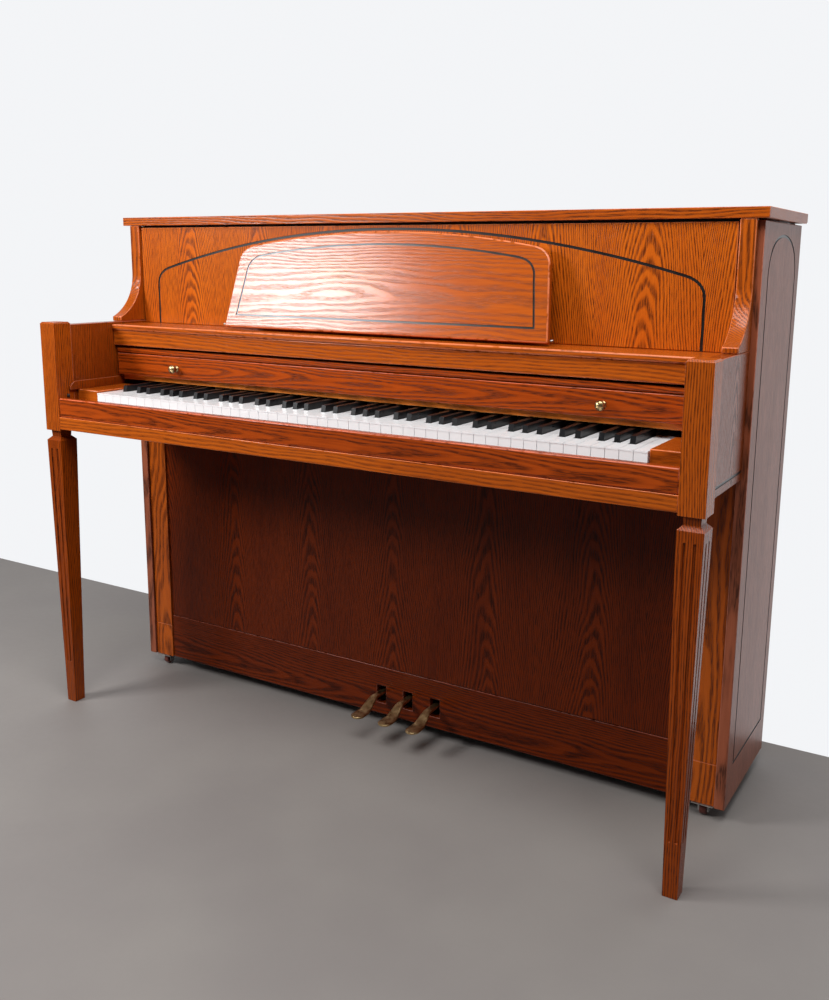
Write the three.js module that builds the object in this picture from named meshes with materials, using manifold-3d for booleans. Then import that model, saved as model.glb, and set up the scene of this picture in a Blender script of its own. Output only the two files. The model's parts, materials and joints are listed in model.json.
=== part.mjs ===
// Console upright piano in oak, with its fallboard open and its music desk up.
// Millimetres. X to the player's right, Y away from the player, Z up.
// The origin is on the floor, under the middle of the overall box.
import * as THREE from 'three';
import Module from 'manifold-3d';
import { mergeVertices } from 'three/addons/utils/BufferGeometryUtils.js';

const wasm = await Module();
wasm.setup();

// ---------------------------------------------------------------- driving dimensions

// Overall sizes that can be set by themselves.
const CASE_HEIGHT = 1083; // floor to the top of the closed lid
const OVERALL_DEPTH = 550; // front of the arm posts to the back edge of the lid
const CASE_DEPTH = 284.5; // side panels, front edge to back edge
const FLOOR_GAP = 27; // floor to the underside of the case

// Clearances.
const TOUCH = 0.3; // between glued or resting faces
const SLIDE = 1; // beside anything that moves between two faces
const PANEL_GAP = 3; // beside the removable front panels

// Keyboard.
const WHITE_PITCH = 23.5;
const WHITE_COUNT = 52;
const KEY_GAP = 1; // between neighbouring keys
const WHITE_TOP_Z = 708;
const WHITE_THICK = 22;
const WHITE_HEAD = 50; // front edge of a white key to the front of the black keys
const BLACK_RISE = 12.5; // black key top above the white key tops
const BLACK_WIDTH = 10.5;
const BLACK_SLOPE = 6; // how far the black key's front face leans back
const KEY_SETBACK = 49; // white key fronts behind the front of the posts
const KEY_TAIL_REACH = 70.5; // rear of a white key behind the upper panel's back face
const KEY_REAR_ARM = 80; // balance pin to the rear of a white key
const BLACK_TAIL = 14; // black sticks run this much further back
const KEY_DIP = 10;
const BLACK_STICK_THICK = 12;
const KEY_BLOCK_WIDTH = 64.5;
const KEY_BLOCK_PROUD = 4; // key block top above the white key tops

// Case boards.
const SIDE_THICK = 19;
const ARM_THICK = 27;
const ARM_INSET = 10.5; // arm's outer face inside the side panel's outer face
const ARM_TOP_Z = 852;
const ARM_UNDER_Z = 635;
const POST_WIDTH = 42.5;
const POST_DEPTH = 43.5;
const POST_TOP_Z = 858;
const POST_UNDER_Z = 626;
const POST_CHAMFER = 3;
const LID_THICK = 18;
const LID_OVERHANG_SIDE = 9;
const LID_OVERHANG_FRONT = 14;
const LID_LIFT = 3; // bumpers hold the lid this far above the side panels
const PANEL_THICK = 18;
const PANEL_PROUD = 6.5; // upper panel's face ahead of the side panels' front edges

// Front legs.
const LEG_TOP_Z = 612;
const LEG_SHOULDER = 8; // height and inset of the chamfer under the neck
const FOOT_WIDTH = 25;
const FOOT_DEPTH = 26;
const FOOT_INSET_OUTER = 8;
const FOOT_INSET_FRONT = 4;
const FLUTE_WIDTH = 5;
const FLUTE_TOP_DROP = 28; // below the top of the leg
const FLUTE_FOOT_RISE = 98; // above the floor

// Brackets.
const BRACKET_PROUD = 12.5; // bracket's straight front edge ahead of the side panels
const BRACKET_SWEEP = 64; // how much further forward its foot reaches
const BRACKET_SWEEP_HEIGHT = 96;
const BRACKET_NIB = 10; // upright end of the sweep, above the arm

// Shelf, rail and music desk.
const SHELF_TOP_Z = 847;
const SHELF_THICK = 12;
const SHELF_REACH = 100; // nosing ahead of the upper panel's face
const RAIL_HEIGHT = 31;
const RAIL_THICK = 16;
const RAIL_SETBACK = 5;
const DESK_HALF_FOOT = 373;
const DESK_HALF_SHOULDER = 358;
const DESK_HEIGHT = 202;
const DESK_SHOULDER_HEIGHT = 136;
const DESK_CORNER = 38;
const DESK_RISE = 34; // height of the arched top above its ends
const DESK_THICK = 15;
const DESK_LEAN_DEG = 14.3;
const DESK_PIVOT_RISE = 6; // pivot above the desk's lower edge
const DESK_STAND = 57.5; // pivot ahead of the upper panel's face

// Fallboard: a leaf that slides under the rail on a guide rod, and a flap hinged to its front.
const LEAF_THICK = 12;
const LEAF_GAP = 8; // between the rail's underside and the leaf
const LEAF_REACH = 114; // guide rod to the flap hinge
const GUIDE_ROD_RADIUS = 3;
const GUIDE_BORE_RADIUS = 3.6;
const FLAP_DROP = 54; // flap hinge to the flap's lower edge
const FLAP_SET = 8.5; // flap hinge behind the shelf's nosing, plus half a leaf
const KNOB_SPREAD = 490; // knobs either side of the middle
const KNOB_RADIUS = 9;
const KNOB_REACH = 20;
const KNOB_RISE = 22; // knob centre above the flap's lower edge
const REST_THICK = 5; // wooden rest on the inner face of each arm
const NAME_BOARD_THICK = 12;
const NAME_BOARD_SETBACK = 6; // behind the flap's back face

// Key bed and slip.
const BED_UNDER_Z = 630;
const BED_THICK = 26.5;
const BED_RAIL_THICK = 22;
const SLIP_HEIGHT = 40.5;
const SLIP_THICK = 18;
const SLIP_SETBACK = 2;
const BED_TAIL = 46; // key bed behind the black sticks

// Lower case.
const STILE_WIDTH = 52;
const STILE_THICK = 19.5;
const STILE_SETBACK = 5.5;
const TOE_HEIGHT = 80; // plinth part of each stile
const LOWER_PANEL_FOOT_Z = 135;
const LOWER_PANEL_THICK = 15;
const LOWER_PANEL_SETBACK = 4.5; // behind the face of the stiles
const BOTTOM_THICK = 25;

// Pedals.
const PEDAL_PITCH = 67;
const PEDAL_MIDDLE_X = 38;
const PEDAL_Z = 76;
const PEDAL_THICK = 8;
const PEDAL_NECK = 15;
const PEDAL_FOOT_RADIUS = 15;
const PEDAL_REACH = 104; // ahead of the toe rail
const PEDAL_FALL = 18; // foot below the neck
const PEDAL_PIVOT_Y = 34; // behind the toe rail's face
const PEDAL_TAIL = 70; // behind the pivot
const PEDAL_CLEAR = 2.5; // above its bearing block, so that it can tilt
const BEARING_HALF = 8;

// Casters.
const WHEEL_RADIUS = 12;
const WHEEL_WIDTH = 13;
const FORK_PLATE = 2.2;
const CASTER_INSET_SIDE = 22.2; // wheel's middle inside the stile's outer edge
const CASTER_INSET_FRONT = 22;
const CASTER_INSET_BACK = 40;

// Sounding parts, from the back of the case forwards.
const BACK_FRAME_THICK = 66;
const BACK_POST_WIDTH = 62;
const BACK_POST_COUNT = 5;
const PIN_BLOCK_HEIGHT = 150;
const BACK_FOOT_HEIGHT = 85;
const RIB_THICK = 8;
const SOUNDBOARD_THICK = 8;
const PIN_BLOCK_THICK = 36;
const PLATE_THICK = 12;
const STRING_THICK = 1.5;
const STRING_STAND = 6; // strings ahead of the plate
const BRIDGE_WIDTH = 30;
const BRIDGE_ROOM = 3; // between a bridge and the plate around it
const STRUT_WIDTH = 28;

// Action, hammers and dampers.
const HAMMER_COUNT = 88;
const HAMMER_DROP = 24; // hammer heads below the pin block's foot
const HAMMER_SWING = 118; // height from butt to head
const HAMMER_BLOW = 30; // from a resting hammer to the strings
const HAMMER_WIDTH = 8;
const HAMMER_LENGTH = 40;
const HAMMER_HALF = 8; // half the height of the felt at its shoulder
const SHANK_WIDTH = 5;
const SHANK_HALF = 3;
const BUTT_HALF = 6;
const DAMPER_HEIGHT = 26;
const DAMPER_THICK = 8.7;
const DAMPER_DROP = 36; // damper tops below the hammers' line
const DAMPER_SHARE = 0.55; // how far the dampers run into the right half

// Lid hinge.
const BARREL_RADIUS = 2.4;
const HINGE_PIN_RADIUS = 1;
const HINGE_BORE_RADIUS = 1.5;
const HINGE_LEAF_THICK = 1.1;
const HINGE_LEAF_WIDTH = 21;
const HINGE_LENGTH = 1300;
const KNUCKLES = 9;

// ---------------------------------------------------------------- places worked out from them

const keyboardHalf = (WHITE_PITCH * WHITE_COUNT) / 2;
const armInnerX = keyboardHalf + SLIDE + KEY_BLOCK_WIDTH + 0.5;
const armOuterX = armInnerX + ARM_THICK;
const sideOuterX = armOuterX + ARM_INSET;
const sideInnerX = sideOuterX - SIDE_THICK;
const insideX = sideInnerX - TOUCH;
const postInnerX = armInnerX - 0.5;
const postOuterX = postInnerX + POST_WIDTH;
const lidHalf = sideOuterX + LID_OVERHANG_SIDE;

const frontY = -OVERALL_DEPTH / 2;
const backY = OVERALL_DEPTH / 2;
const hingeY = backY - BARREL_RADIUS - 0.1;
const caseBackY = hingeY;
const caseFrontY = caseBackY - CASE_DEPTH;
const postBackY = frontY + POST_DEPTH;
const panelFaceY = caseFrontY - PANEL_PROUD;
const panelBackY = panelFaceY + PANEL_THICK;
const lidFrontY = caseFrontY - LID_OVERHANG_FRONT;
const lidUnderZ = CASE_HEIGHT - LID_THICK;
const sideTopZ = lidUnderZ - LID_LIFT;
const hingeZ = lidUnderZ - 1.5;

const keyFrontY = frontY + KEY_SETBACK;
const whiteRearY = panelBackY + KEY_TAIL_REACH;
const keyPivotY = whiteRearY - KEY_REAR_ARM;
const blackRearY = whiteRearY + BLACK_TAIL;
const blackFrontY = keyFrontY + WHITE_HEAD;
const blackTopZ = WHITE_TOP_Z + BLACK_RISE;
const keyUnderZ = WHITE_TOP_Z - WHITE_THICK;

const shelfUnderZ = SHELF_TOP_Z - SHELF_THICK;
const shelfFrontY = panelFaceY - SHELF_REACH;
const railFaceY = shelfFrontY + RAIL_SETBACK;
const railUnderZ = shelfUnderZ - TOUCH - RAIL_HEIGHT;
const leafTopZ = railUnderZ - LEAF_GAP;
const leafZ = leafTopZ - LEAF_THICK / 2;
const flapHingeY = shelfFrontY + FLAP_SET + LEAF_THICK / 2;
const guideY = flapHingeY + LEAF_REACH;
const flapFaceY = flapHingeY - LEAF_THICK / 2;
const flapUnderZ = leafZ - FLAP_DROP;
const nameBoardY = flapFaceY + LEAF_THICK + NAME_BOARD_SETBACK;

const bedTopZ = BED_UNDER_Z + BED_THICK;
const bedBackY = blackRearY + BED_TAIL;
const stileFaceY = caseFrontY + STILE_SETBACK;
const lowerFaceY = stileFaceY + LOWER_PANEL_SETBACK;
const panelInnerX = insideX - STILE_WIDTH - SLIDE;
const bottomTopZ = FLOOR_GAP + BOTTOM_THICK;

const backFrameY = caseBackY - BACK_FRAME_THICK;
const soundboardBackY = backFrameY - TOUCH - RIB_THICK;
const soundboardY = soundboardBackY - SOUNDBOARD_THICK;
const backTopZ = sideTopZ - 1.5;
const pinBlockFootZ = backTopZ - PIN_BLOCK_HEIGHT;
const pinBlockFaceY = backFrameY - PIN_BLOCK_THICK;
const plateBackY = pinBlockFaceY - TOUCH;
const plateY = plateBackY - PLATE_THICK;
const stringY = plateY - STRING_STAND;

// ---------------------------------------------------------------- finishes

function finish(color, roughness, metalness = 0) {
  return { color, roughness, metalness };
}
const OAK = finish(0x9c4a1e, 0.38);
const OAK_DARK = finish(0x7c3715, 0.42);
const OAK_LIGHT = finish(0xb05a28, 0.35);
const RAW_WOOD = finish(0xb08d5e, 0.75);
const SPRUCE = finish(0xcfa76b, 0.6);
const PAINTED_BLACK = finish(0x15110f, 0.6);
const KEY_WHITE = finish(0xf2efe8, 0.2);
const KEY_BLACK = finish(0x101011, 0.35);
const BRASS = finish(0xb08d4a, 0.35, 1);
const STEEL = finish(0x8d8d8a, 0.4, 1);
const GOLD_PAINT = finish(0xa98445, 0.45, 0.6);
const RED_RUBBER = finish(0x5a1c16, 0.6);
const FELT = finish(0xe4dfd2, 0.95);

// ---------------------------------------------------------------- building helpers

const piano = new THREE.Group();

// Puts one named piece into the scene.
function place(name, look, geometry, [x, y, z] = [0, 0, 0], parent = piano) {
  const mesh = new THREE.Mesh(geometry, new THREE.MeshStandardMaterial(look));
  mesh.name = name;
  mesh.position.set(x, y, z);
  parent.add(mesh);
  return mesh;
}

// A box geometry between low and high corners, kept where it lies.
function span([x0, x1], [y0, y1], [z0, z1]) {
  const box = new THREE.BoxGeometry(x1 - x0, y1 - y0, z1 - z0);
  return box.translate((x0 + x1) / 2, (y0 + y1) / 2, (z0 + z1) / 2);
}

// A rectangular board as a piece, placed by its middle.
function board(name, look, [x0, x1], [y0, y1], [z0, z1]) {
  const box = new THREE.BoxGeometry(x1 - x0, y1 - y0, z1 - z0);
  return place(name, look, box, [(x0 + x1) / 2, (y0 + y1) / 2, (z0 + z1) / 2]);
}

const TO_X = new THREE.Matrix4().makeBasis(
  new THREE.Vector3(0, 1, 0),
  new THREE.Vector3(0, 0, 1),
  new THREE.Vector3(1, 0, 0),
);
const TO_Y = new THREE.Matrix4().makeBasis(
  new THREE.Vector3(1, 0, 0),
  new THREE.Vector3(0, 0, 1),
  new THREE.Vector3(0, -1, 0),
);

// A side view (y, z) run along X from x0 to x1.
function alongX(shape, x0, x1, curveSegments = 8) {
  const settings = { depth: x1 - x0, bevelEnabled: false, curveSegments };
  return new THREE.ExtrudeGeometry(shape, settings).applyMatrix4(TO_X).translate(x0, 0, 0);
}

// A front view (x, z) run along Y from y0 to y1.
function alongY(shape, y0, y1, curveSegments = 8) {
  const settings = { depth: y1 - y0, bevelEnabled: false, curveSegments };
  return new THREE.ExtrudeGeometry(shape, settings).applyMatrix4(TO_Y).translate(0, y1, 0);
}

// A plan (x, y) run along Z from z0 to z1.
function alongZ(shape, z0, z1, curveSegments = 8) {
  const settings = { depth: z1 - z0, bevelEnabled: false, curveSegments };
  return new THREE.ExtrudeGeometry(shape, settings).translate(0, 0, z0);
}

// A straight-sided shape through its corners.
function outline(corners) {
  return new THREE.Shape(corners.map(([a, b]) => new THREE.Vector2(a, b)));
}

// A round bar along X.
function barX(x0, x1, y, z, radius, sides = 12) {
  const bar = new THREE.CylinderGeometry(radius, radius, x1 - x0, sides);
  return bar.rotateZ(Math.PI / 2).translate((x0 + x1) / 2, y, z);
}

function solid(geometry) {
  const bare = geometry.clone();
  bare.deleteAttribute('normal');
  bare.deleteAttribute('uv');
  const merged = mergeVertices(bare, 1e-4);
  return new wasm.Manifold(
    new wasm.Mesh({
      numProp: 3,
      vertProperties: merged.attributes.position.array,
      triVerts: Uint32Array.from(merged.index.array),
    }),
  );
}

function surface(body) {
  const mesh = body.getMesh();
  const geometry = new THREE.BufferGeometry();
  geometry.setAttribute('position', new THREE.BufferAttribute(mesh.vertProperties, 3));
  geometry.setIndex(new THREE.BufferAttribute(mesh.triVerts, 1));
  return geometry;
}

// Geometries joined into one solid.
function joined(geometries) {
  return geometries.map(solid).reduce((whole, next) => whole.add(next));
}

// A solid with geometries cut away.
function cut(body, geometries) {
  return geometries.map(solid).reduce((whole, next) => whole.subtract(next), body);
}

const SIDES = [
  ['left', -1],
  ['right', 1],
];

// A span on the right, mirrored for the left.
function mirrored(sign, near, far) {
  return sign > 0 ? [near, far] : [-far, -near];
}

// ---------------------------------------------------------------- side panels, arms, posts

function sidePanels() {
  for (const [hand, sign] of SIDES) {
    const x = mirrored(sign, sideInnerX, sideOuterX);
    board(`side_panel_${hand}`, OAK, x, [caseFrontY, caseBackY], [FLOOR_GAP, sideTopZ]);
  }
}

// The arm's underside turns down in a quarter circle where it meets the post.
function arms() {
  const frontEnd = postBackY + TOUCH;
  const backEnd = caseFrontY - TOUCH;
  const turn = ARM_UNDER_Z - POST_UNDER_Z;
  const profile = new THREE.Shape();
  profile.moveTo(backEnd, ARM_UNDER_Z);
  profile.lineTo(backEnd, ARM_TOP_Z);
  profile.lineTo(frontEnd, ARM_TOP_Z);
  profile.lineTo(frontEnd, POST_UNDER_Z);
  profile.lineTo(frontEnd + 4, POST_UNDER_Z);
  profile.absarc(frontEnd + 4 + turn, POST_UNDER_Z, turn, Math.PI, Math.PI / 2, true);
  profile.closePath();
  for (const [hand, sign] of SIDES) {
    const [x0, x1] = mirrored(sign, armInnerX, armOuterX);
    place(`arm_${hand}`, OAK, alongX(profile, x0, x1, 4));
  }
}

// Square tapering section between two levels: [x0, x1, y0, y1] at each.
function taper(foot, footZ, head, headZ) {
  const box = new THREE.BoxGeometry(1, 1, 1);
  const corner = box.attributes.position;
  for (let i = 0; i < corner.count; i++) {
    const atHead = corner.getZ(i) > 0;
    const [x0, x1, y0, y1] = atHead ? head : foot;
    const x = corner.getX(i) > 0 ? x1 : x0;
    const y = corner.getY(i) > 0 ? y1 : y0;
    corner.setXYZ(i, x, y, atHead ? headZ : footZ);
  }
  return box;
}

function inset([x0, x1, y0, y1], by) {
  return [x0 + by, x1 - by, y0 + by, y1 - by];
}

function armPosts() {
  const plan = [postInnerX, postOuterX, frontY, postBackY];
  const neckZ = POST_TOP_Z - POST_CHAMFER;
  const post = joined([
    taper(plan, POST_UNDER_Z, plan, neckZ),
    taper(plan, neckZ - TOUCH, inset(plan, POST_CHAMFER), POST_TOP_Z),
  ]);
  for (const [hand, sign] of SIDES) {
    place(`arm_post_${hand}`, OAK_LIGHT, surface(post)).scale.x = sign;
  }
}

// One flute: a six-sided groove whose axis runs down the face of the leg.
function flute(top, foot) {
  const start = new THREE.Vector3(...foot);
  const end = new THREE.Vector3(...top);
  const path = new THREE.LineCurve3(start, end);
  const groove = new THREE.CylinderGeometry(FLUTE_WIDTH / 2, FLUTE_WIDTH / 2, path.getLength(), 6);
  const turn = new THREE.Quaternion().setFromUnitVectors(
    new THREE.Vector3(0, 1, 0),
    end.clone().sub(start).normalize(),
  );
  const middle = start.clone().add(end).multiplyScalar(0.5);
  return groove.applyQuaternion(turn).translate(middle.x, middle.y, middle.z);
}

function frontLegs() {
  const head = [postInnerX, postOuterX, frontY, postBackY];
  const footX = postOuterX - FOOT_INSET_OUTER;
  const footY = frontY + FOOT_INSET_FRONT;
  const foot = [footX - FOOT_WIDTH, footX, footY, footY + FOOT_DEPTH];
  const headZ = LEG_TOP_Z - LEG_SHOULDER;
  const neck = inset(head, LEG_SHOULDER);
  const leg = joined([
    taper(foot, 0, head, headZ),
    taper(head, headZ - TOUCH, neck, LEG_TOP_Z),
    taper(neck, LEG_TOP_Z - 1, inset(head, LEG_SHOULDER - 1), POST_UNDER_Z - TOUCH),
  ]);
  const between = (z, i) => THREE.MathUtils.lerp(foot[i], head[i], z / headZ);
  const fluteTopZ = LEG_TOP_Z - FLUTE_TOP_DROP;
  const flutes = [];
  for (const share of [0.31, 0.69]) {
    const ends = [fluteTopZ, FLUTE_FOOT_RISE].map((z) => {
      const x0 = between(z, 0);
      const x1 = between(z, 1);
      const y0 = between(z, 2);
      const y1 = between(z, 3);
      return {
        front: [x0 + (x1 - x0) * share, y0, z],
        outer: [x1, y0 + (y1 - y0) * share, z],
      };
    });
    flutes.push(flute(ends[0].front, ends[1].front), flute(ends[0].outer, ends[1].outer));
  }
  const fluted = cut(leg, flutes);
  for (const [hand, sign] of SIDES) {
    place(`front_leg_${hand}`, OAK_LIGHT, surface(fluted)).scale.x = sign;
  }
}

// A bracket stands on each arm, against the side panel, and sweeps forward at its foot.
function brackets() {
  const back = caseFrontY - TOUCH;
  const front = caseFrontY - BRACKET_PROUD;
  const foot = ARM_TOP_Z + TOUCH;
  const toe = front - BRACKET_SWEEP;
  const sweepStart = foot + BRACKET_NIB + BRACKET_SWEEP_HEIGHT;
  const sweepAngle = 2 * Math.atan(BRACKET_SWEEP / BRACKET_SWEEP_HEIGHT);
  const sweepRadius = BRACKET_SWEEP_HEIGHT / Math.sin(sweepAngle);
  const profile = new THREE.Shape();
  profile.moveTo(toe, foot);
  profile.lineTo(back, foot);
  profile.lineTo(back, lidUnderZ - TOUCH);
  profile.lineTo(front, lidUnderZ - TOUCH);
  profile.lineTo(front, sweepStart);
  profile.absarc(front - sweepRadius, sweepStart, sweepRadius, 0, -sweepAngle, true);
  profile.closePath();
  for (const [hand, sign] of SIDES) {
    const [x0, x1] = mirrored(sign, armInnerX, armOuterX);
    place(`bracket_${hand}`, OAK_LIGHT, alongX(profile, x0, x1, 12));
  }
}

// ---------------------------------------------------------------- lid and its hinge

// The lid's lower back edge is rebated to clear the hinge barrel.
function lid() {
  const rebateY = hingeY - BARREL_RADIUS - SLIDE;
  const rebateZ = hingeZ + BARREL_RADIUS + SLIDE;
  const profile = outline([
    [lidFrontY, lidUnderZ],
    [rebateY, lidUnderZ],
    [rebateY, rebateZ],
    [backY, rebateZ],
    [backY, CASE_HEIGHT],
    [lidFrontY, CASE_HEIGHT],
  ]);
  place('lid', OAK, alongX(profile, -lidHalf, lidHalf));
}

// Continuous hinge: odd knuckles belong to the case leaf, even ones to the lid leaf.
function lidHinge() {
  const pitch = HINGE_LENGTH / KNUCKLES;
  const start = -HINGE_LENGTH / 2;
  const leafFront = hingeY - HINGE_LEAF_WIDTH;
  const clearOfBarrel = hingeY - BARREL_RADIUS - 0.6;
  const caseLeafZ = [backTopZ + TOUCH, backTopZ + TOUCH + HINGE_LEAF_THICK];
  const lidLeafZ = [lidUnderZ - TOUCH - HINGE_LEAF_THICK, lidUnderZ - TOUCH];
  const whole = [start, start + HINGE_LENGTH];
  const caseParts = [
    span(whole, [leafFront, clearOfBarrel], caseLeafZ),
    barX(...whole, hingeY, hingeZ, HINGE_PIN_RADIUS, 8),
  ];
  const lidParts = [span(whole, [leafFront, clearOfBarrel], lidLeafZ)];
  for (let i = 0; i < KNUCKLES; i++) {
    const x = [start + i * pitch + TOUCH, start + (i + 1) * pitch - TOUCH];
    const onCase = i % 2 === 0;
    const parts = onCase ? caseParts : lidParts;
    const leafZ = onCase ? caseLeafZ : lidLeafZ;
    parts.push(barX(...x, hingeY, hingeZ, BARREL_RADIUS));
    parts.push(span(x, [clearOfBarrel - 1, hingeY - HINGE_BORE_RADIUS], leafZ));
  }
  const bore = barX(start - 1, start + HINGE_LENGTH + 1, hingeY, hingeZ, HINGE_BORE_RADIUS, 10);
  place('lid_hinge_case_leaf', BRASS, surface(joined(caseParts)));
  place('lid_hinge_lid_leaf', BRASS, surface(cut(joined(lidParts), [bore])));
}

// ---------------------------------------------------------------- upper front, shelf and desk

function upperFront() {
  const half = armInnerX - PANEL_GAP;
  const panelZ = [SHELF_TOP_Z + TOUCH, sideTopZ - LID_LIFT + 1];
  board('upper_panel', OAK_LIGHT, [-half, half], [panelFaceY, panelBackY], panelZ);
  const shelfHalf = armInnerX - TOUCH;
  const shelfZ = [shelfUnderZ, SHELF_TOP_Z];
  board('music_shelf', OAK, [-shelfHalf, shelfHalf], [shelfFrontY, panelBackY], shelfZ);
  const railY = [railFaceY, railFaceY + RAIL_THICK];
  const railZ = [railUnderZ, shelfUnderZ - TOUCH];
  board('shelf_rail', OAK_LIGHT, [-shelfHalf, shelfHalf], railY, railZ);
}

// Half of the desk's front view: foot, sloping side, rounded corner, arched top.
function deskShape() {
  const arch = (DESK_HALF_SHOULDER ** 2 + DESK_RISE ** 2) / (2 * DESK_RISE);
  const archMiddle = DESK_HEIGHT - arch;
  const archTop = (x) => archMiddle + Math.sqrt(arch ** 2 - x ** 2);
  const bendX = DESK_HALF_SHOULDER - DESK_CORNER;
  const shape = new THREE.Shape();
  shape.moveTo(-DESK_HALF_FOOT, 0);
  shape.lineTo(DESK_HALF_FOOT, 0);
  shape.lineTo(DESK_HALF_SHOULDER, DESK_SHOULDER_HEIGHT);
  const rightCorner = archTop(DESK_HALF_SHOULDER);
  shape.quadraticCurveTo(DESK_HALF_SHOULDER, rightCorner, bendX, archTop(bendX));
  const swing = Math.asin(bendX / arch);
  shape.absarc(0, archMiddle, arch, Math.PI / 2 - swing, Math.PI / 2 + swing, false);
  shape.quadraticCurveTo(-DESK_HALF_SHOULDER, rightCorner, -DESK_HALF_SHOULDER, DESK_SHOULDER_HEIGHT);
  shape.closePath();
  return shape;
}

function musicDesk() {
  const slab = alongY(deskShape(), -DESK_THICK / 2, DESK_THICK / 2);
  slab.translate(0, 0, -DESK_PIVOT_RISE);
  const pivotY = panelFaceY - DESK_STAND;
  const pivotZ = SHELF_TOP_Z + DESK_PIVOT_RISE + 4;
  const desk = place('music_desk', OAK_LIGHT, slab, [0, pivotY, pivotZ]);
  desk.rotation.x = -THREE.MathUtils.degToRad(DESK_LEAN_DEG);
}

// ---------------------------------------------------------------- fallboard

// The leaf's front edge is round about the flap hinge, and its rear edge about the guide rod.
function fallboard() {
  const half = armInnerX - REST_THICK - 2 * SLIDE - TOUCH;
  const round = LEAF_THICK / 2;
  const leaf = new THREE.Shape();
  leaf.moveTo(guideY, leafZ + round);
  leaf.lineTo(flapHingeY, leafZ + round);
  leaf.absarc(flapHingeY, leafZ, round, Math.PI / 2, Math.PI * 1.5, false);
  leaf.lineTo(guideY, leafZ - round);
  leaf.absarc(guideY, leafZ, round, -Math.PI / 2, Math.PI / 2, false);
  const bore = barX(-half - 1, half + 1, guideY, leafZ, GUIDE_BORE_RADIUS);
  place('fallboard_leaf', OAK, surface(cut(solid(alongX(leaf, -half, half, 6)), [bore])));
  const rodHalf = armInnerX - SLIDE;
  const rod = barX(-rodHalf, rodHalf, 0, 0, GUIDE_ROD_RADIUS, 10);
  place('fallboard_guide_rod', STEEL, rod, [0, guideY, leafZ]);
  const flapTopZ = leafZ - round - 0.6;
  const flapY = [flapFaceY, flapFaceY + LEAF_THICK];
  board('fallboard_flap', OAK, [-half, half], flapY, [flapUnderZ, flapTopZ]);
  const profile = [
    [0, 0],
    [5, 0],
    [4, 6],
    [KNOB_RADIUS - 1, 10],
    [KNOB_RADIUS, 14],
    [KNOB_RADIUS - 2, 18.5],
    [0, KNOB_REACH],
  ].map(([r, h]) => new THREE.Vector2(r, h));
  for (const [hand, sign] of SIDES) {
    const knob = place(`fallboard_knob_${hand}`, BRASS, new THREE.LatheGeometry(profile, 16));
    knob.rotation.x = Math.PI;
    knob.position.set(sign * KNOB_SPREAD, flapFaceY - TOUCH, flapUnderZ + KNOB_RISE);
  }
}

// A rest on each arm's inner face: level, with a rounded nose that turns down at the front.
function fallboardRests() {
  const topZ = flapUnderZ - 5;
  const footZ = WHITE_TOP_Z + KEY_BLOCK_PROUD + TOUCH;
  const noseY = postBackY - 14;
  const backEnd = nameBoardY - TOUCH;
  const nose = topZ - footZ;
  const shape = new THREE.Shape();
  shape.moveTo(backEnd, footZ);
  shape.lineTo(backEnd, topZ);
  shape.lineTo(noseY + nose, topZ);
  shape.absarc(noseY + nose, footZ, nose, Math.PI / 2, Math.PI, false);
  shape.closePath();
  for (const [hand, sign] of SIDES) {
    const outer = postInnerX - TOUCH;
    const [x0, x1] = mirrored(sign, outer - REST_THICK, outer);
    place(`fallboard_rest_${hand}`, OAK_DARK, alongX(shape, x0, x1, 6));
  }
}

// ---------------------------------------------------------------- key bed and what frames the keys

function keyBed() {
  const half = armInnerX - TOUCH - 0.5;
  const railY = [frontY + 0.5, frontY + BED_RAIL_THICK];
  const bed = joined([
    span([-half, half], railY, [BED_UNDER_Z, bedTopZ]),
    span([-half, half], [railY[1] - 1, bedBackY], [BED_UNDER_Z + 2, bedTopZ]),
  ]);
  place('key_bed', OAK, surface(bed));
  const slipFace = frontY + SLIP_SETBACK;
  const slipZ = [bedTopZ + TOUCH, bedTopZ + SLIP_HEIGHT];
  board('key_slip', OAK, [-half, half], [slipFace, slipFace + SLIP_THICK], slipZ);
  const blockTop = WHITE_TOP_Z + KEY_BLOCK_PROUD;
  for (const [hand, sign] of SIDES) {
    const x = mirrored(sign, keyboardHalf + SLIDE, keyboardHalf + KEY_BLOCK_WIDTH);
    const y = [keyFrontY + 4, nameBoardY - TOUCH];
    board(`key_block_${hand}`, OAK, x, y, [bedTopZ + TOUCH, blockTop]);
  }
  const nameZ = [blackTopZ + 2, leafZ - LEAF_THICK / 2 - 14];
  const nameHalf = armInnerX - TOUCH - SLIDE;
  const nameY = [nameBoardY, nameBoardY + NAME_BOARD_THICK];
  board('name_board', OAK_DARK, [-nameHalf, nameHalf], nameY, nameZ);
}

// ---------------------------------------------------------------- lower case

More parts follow.
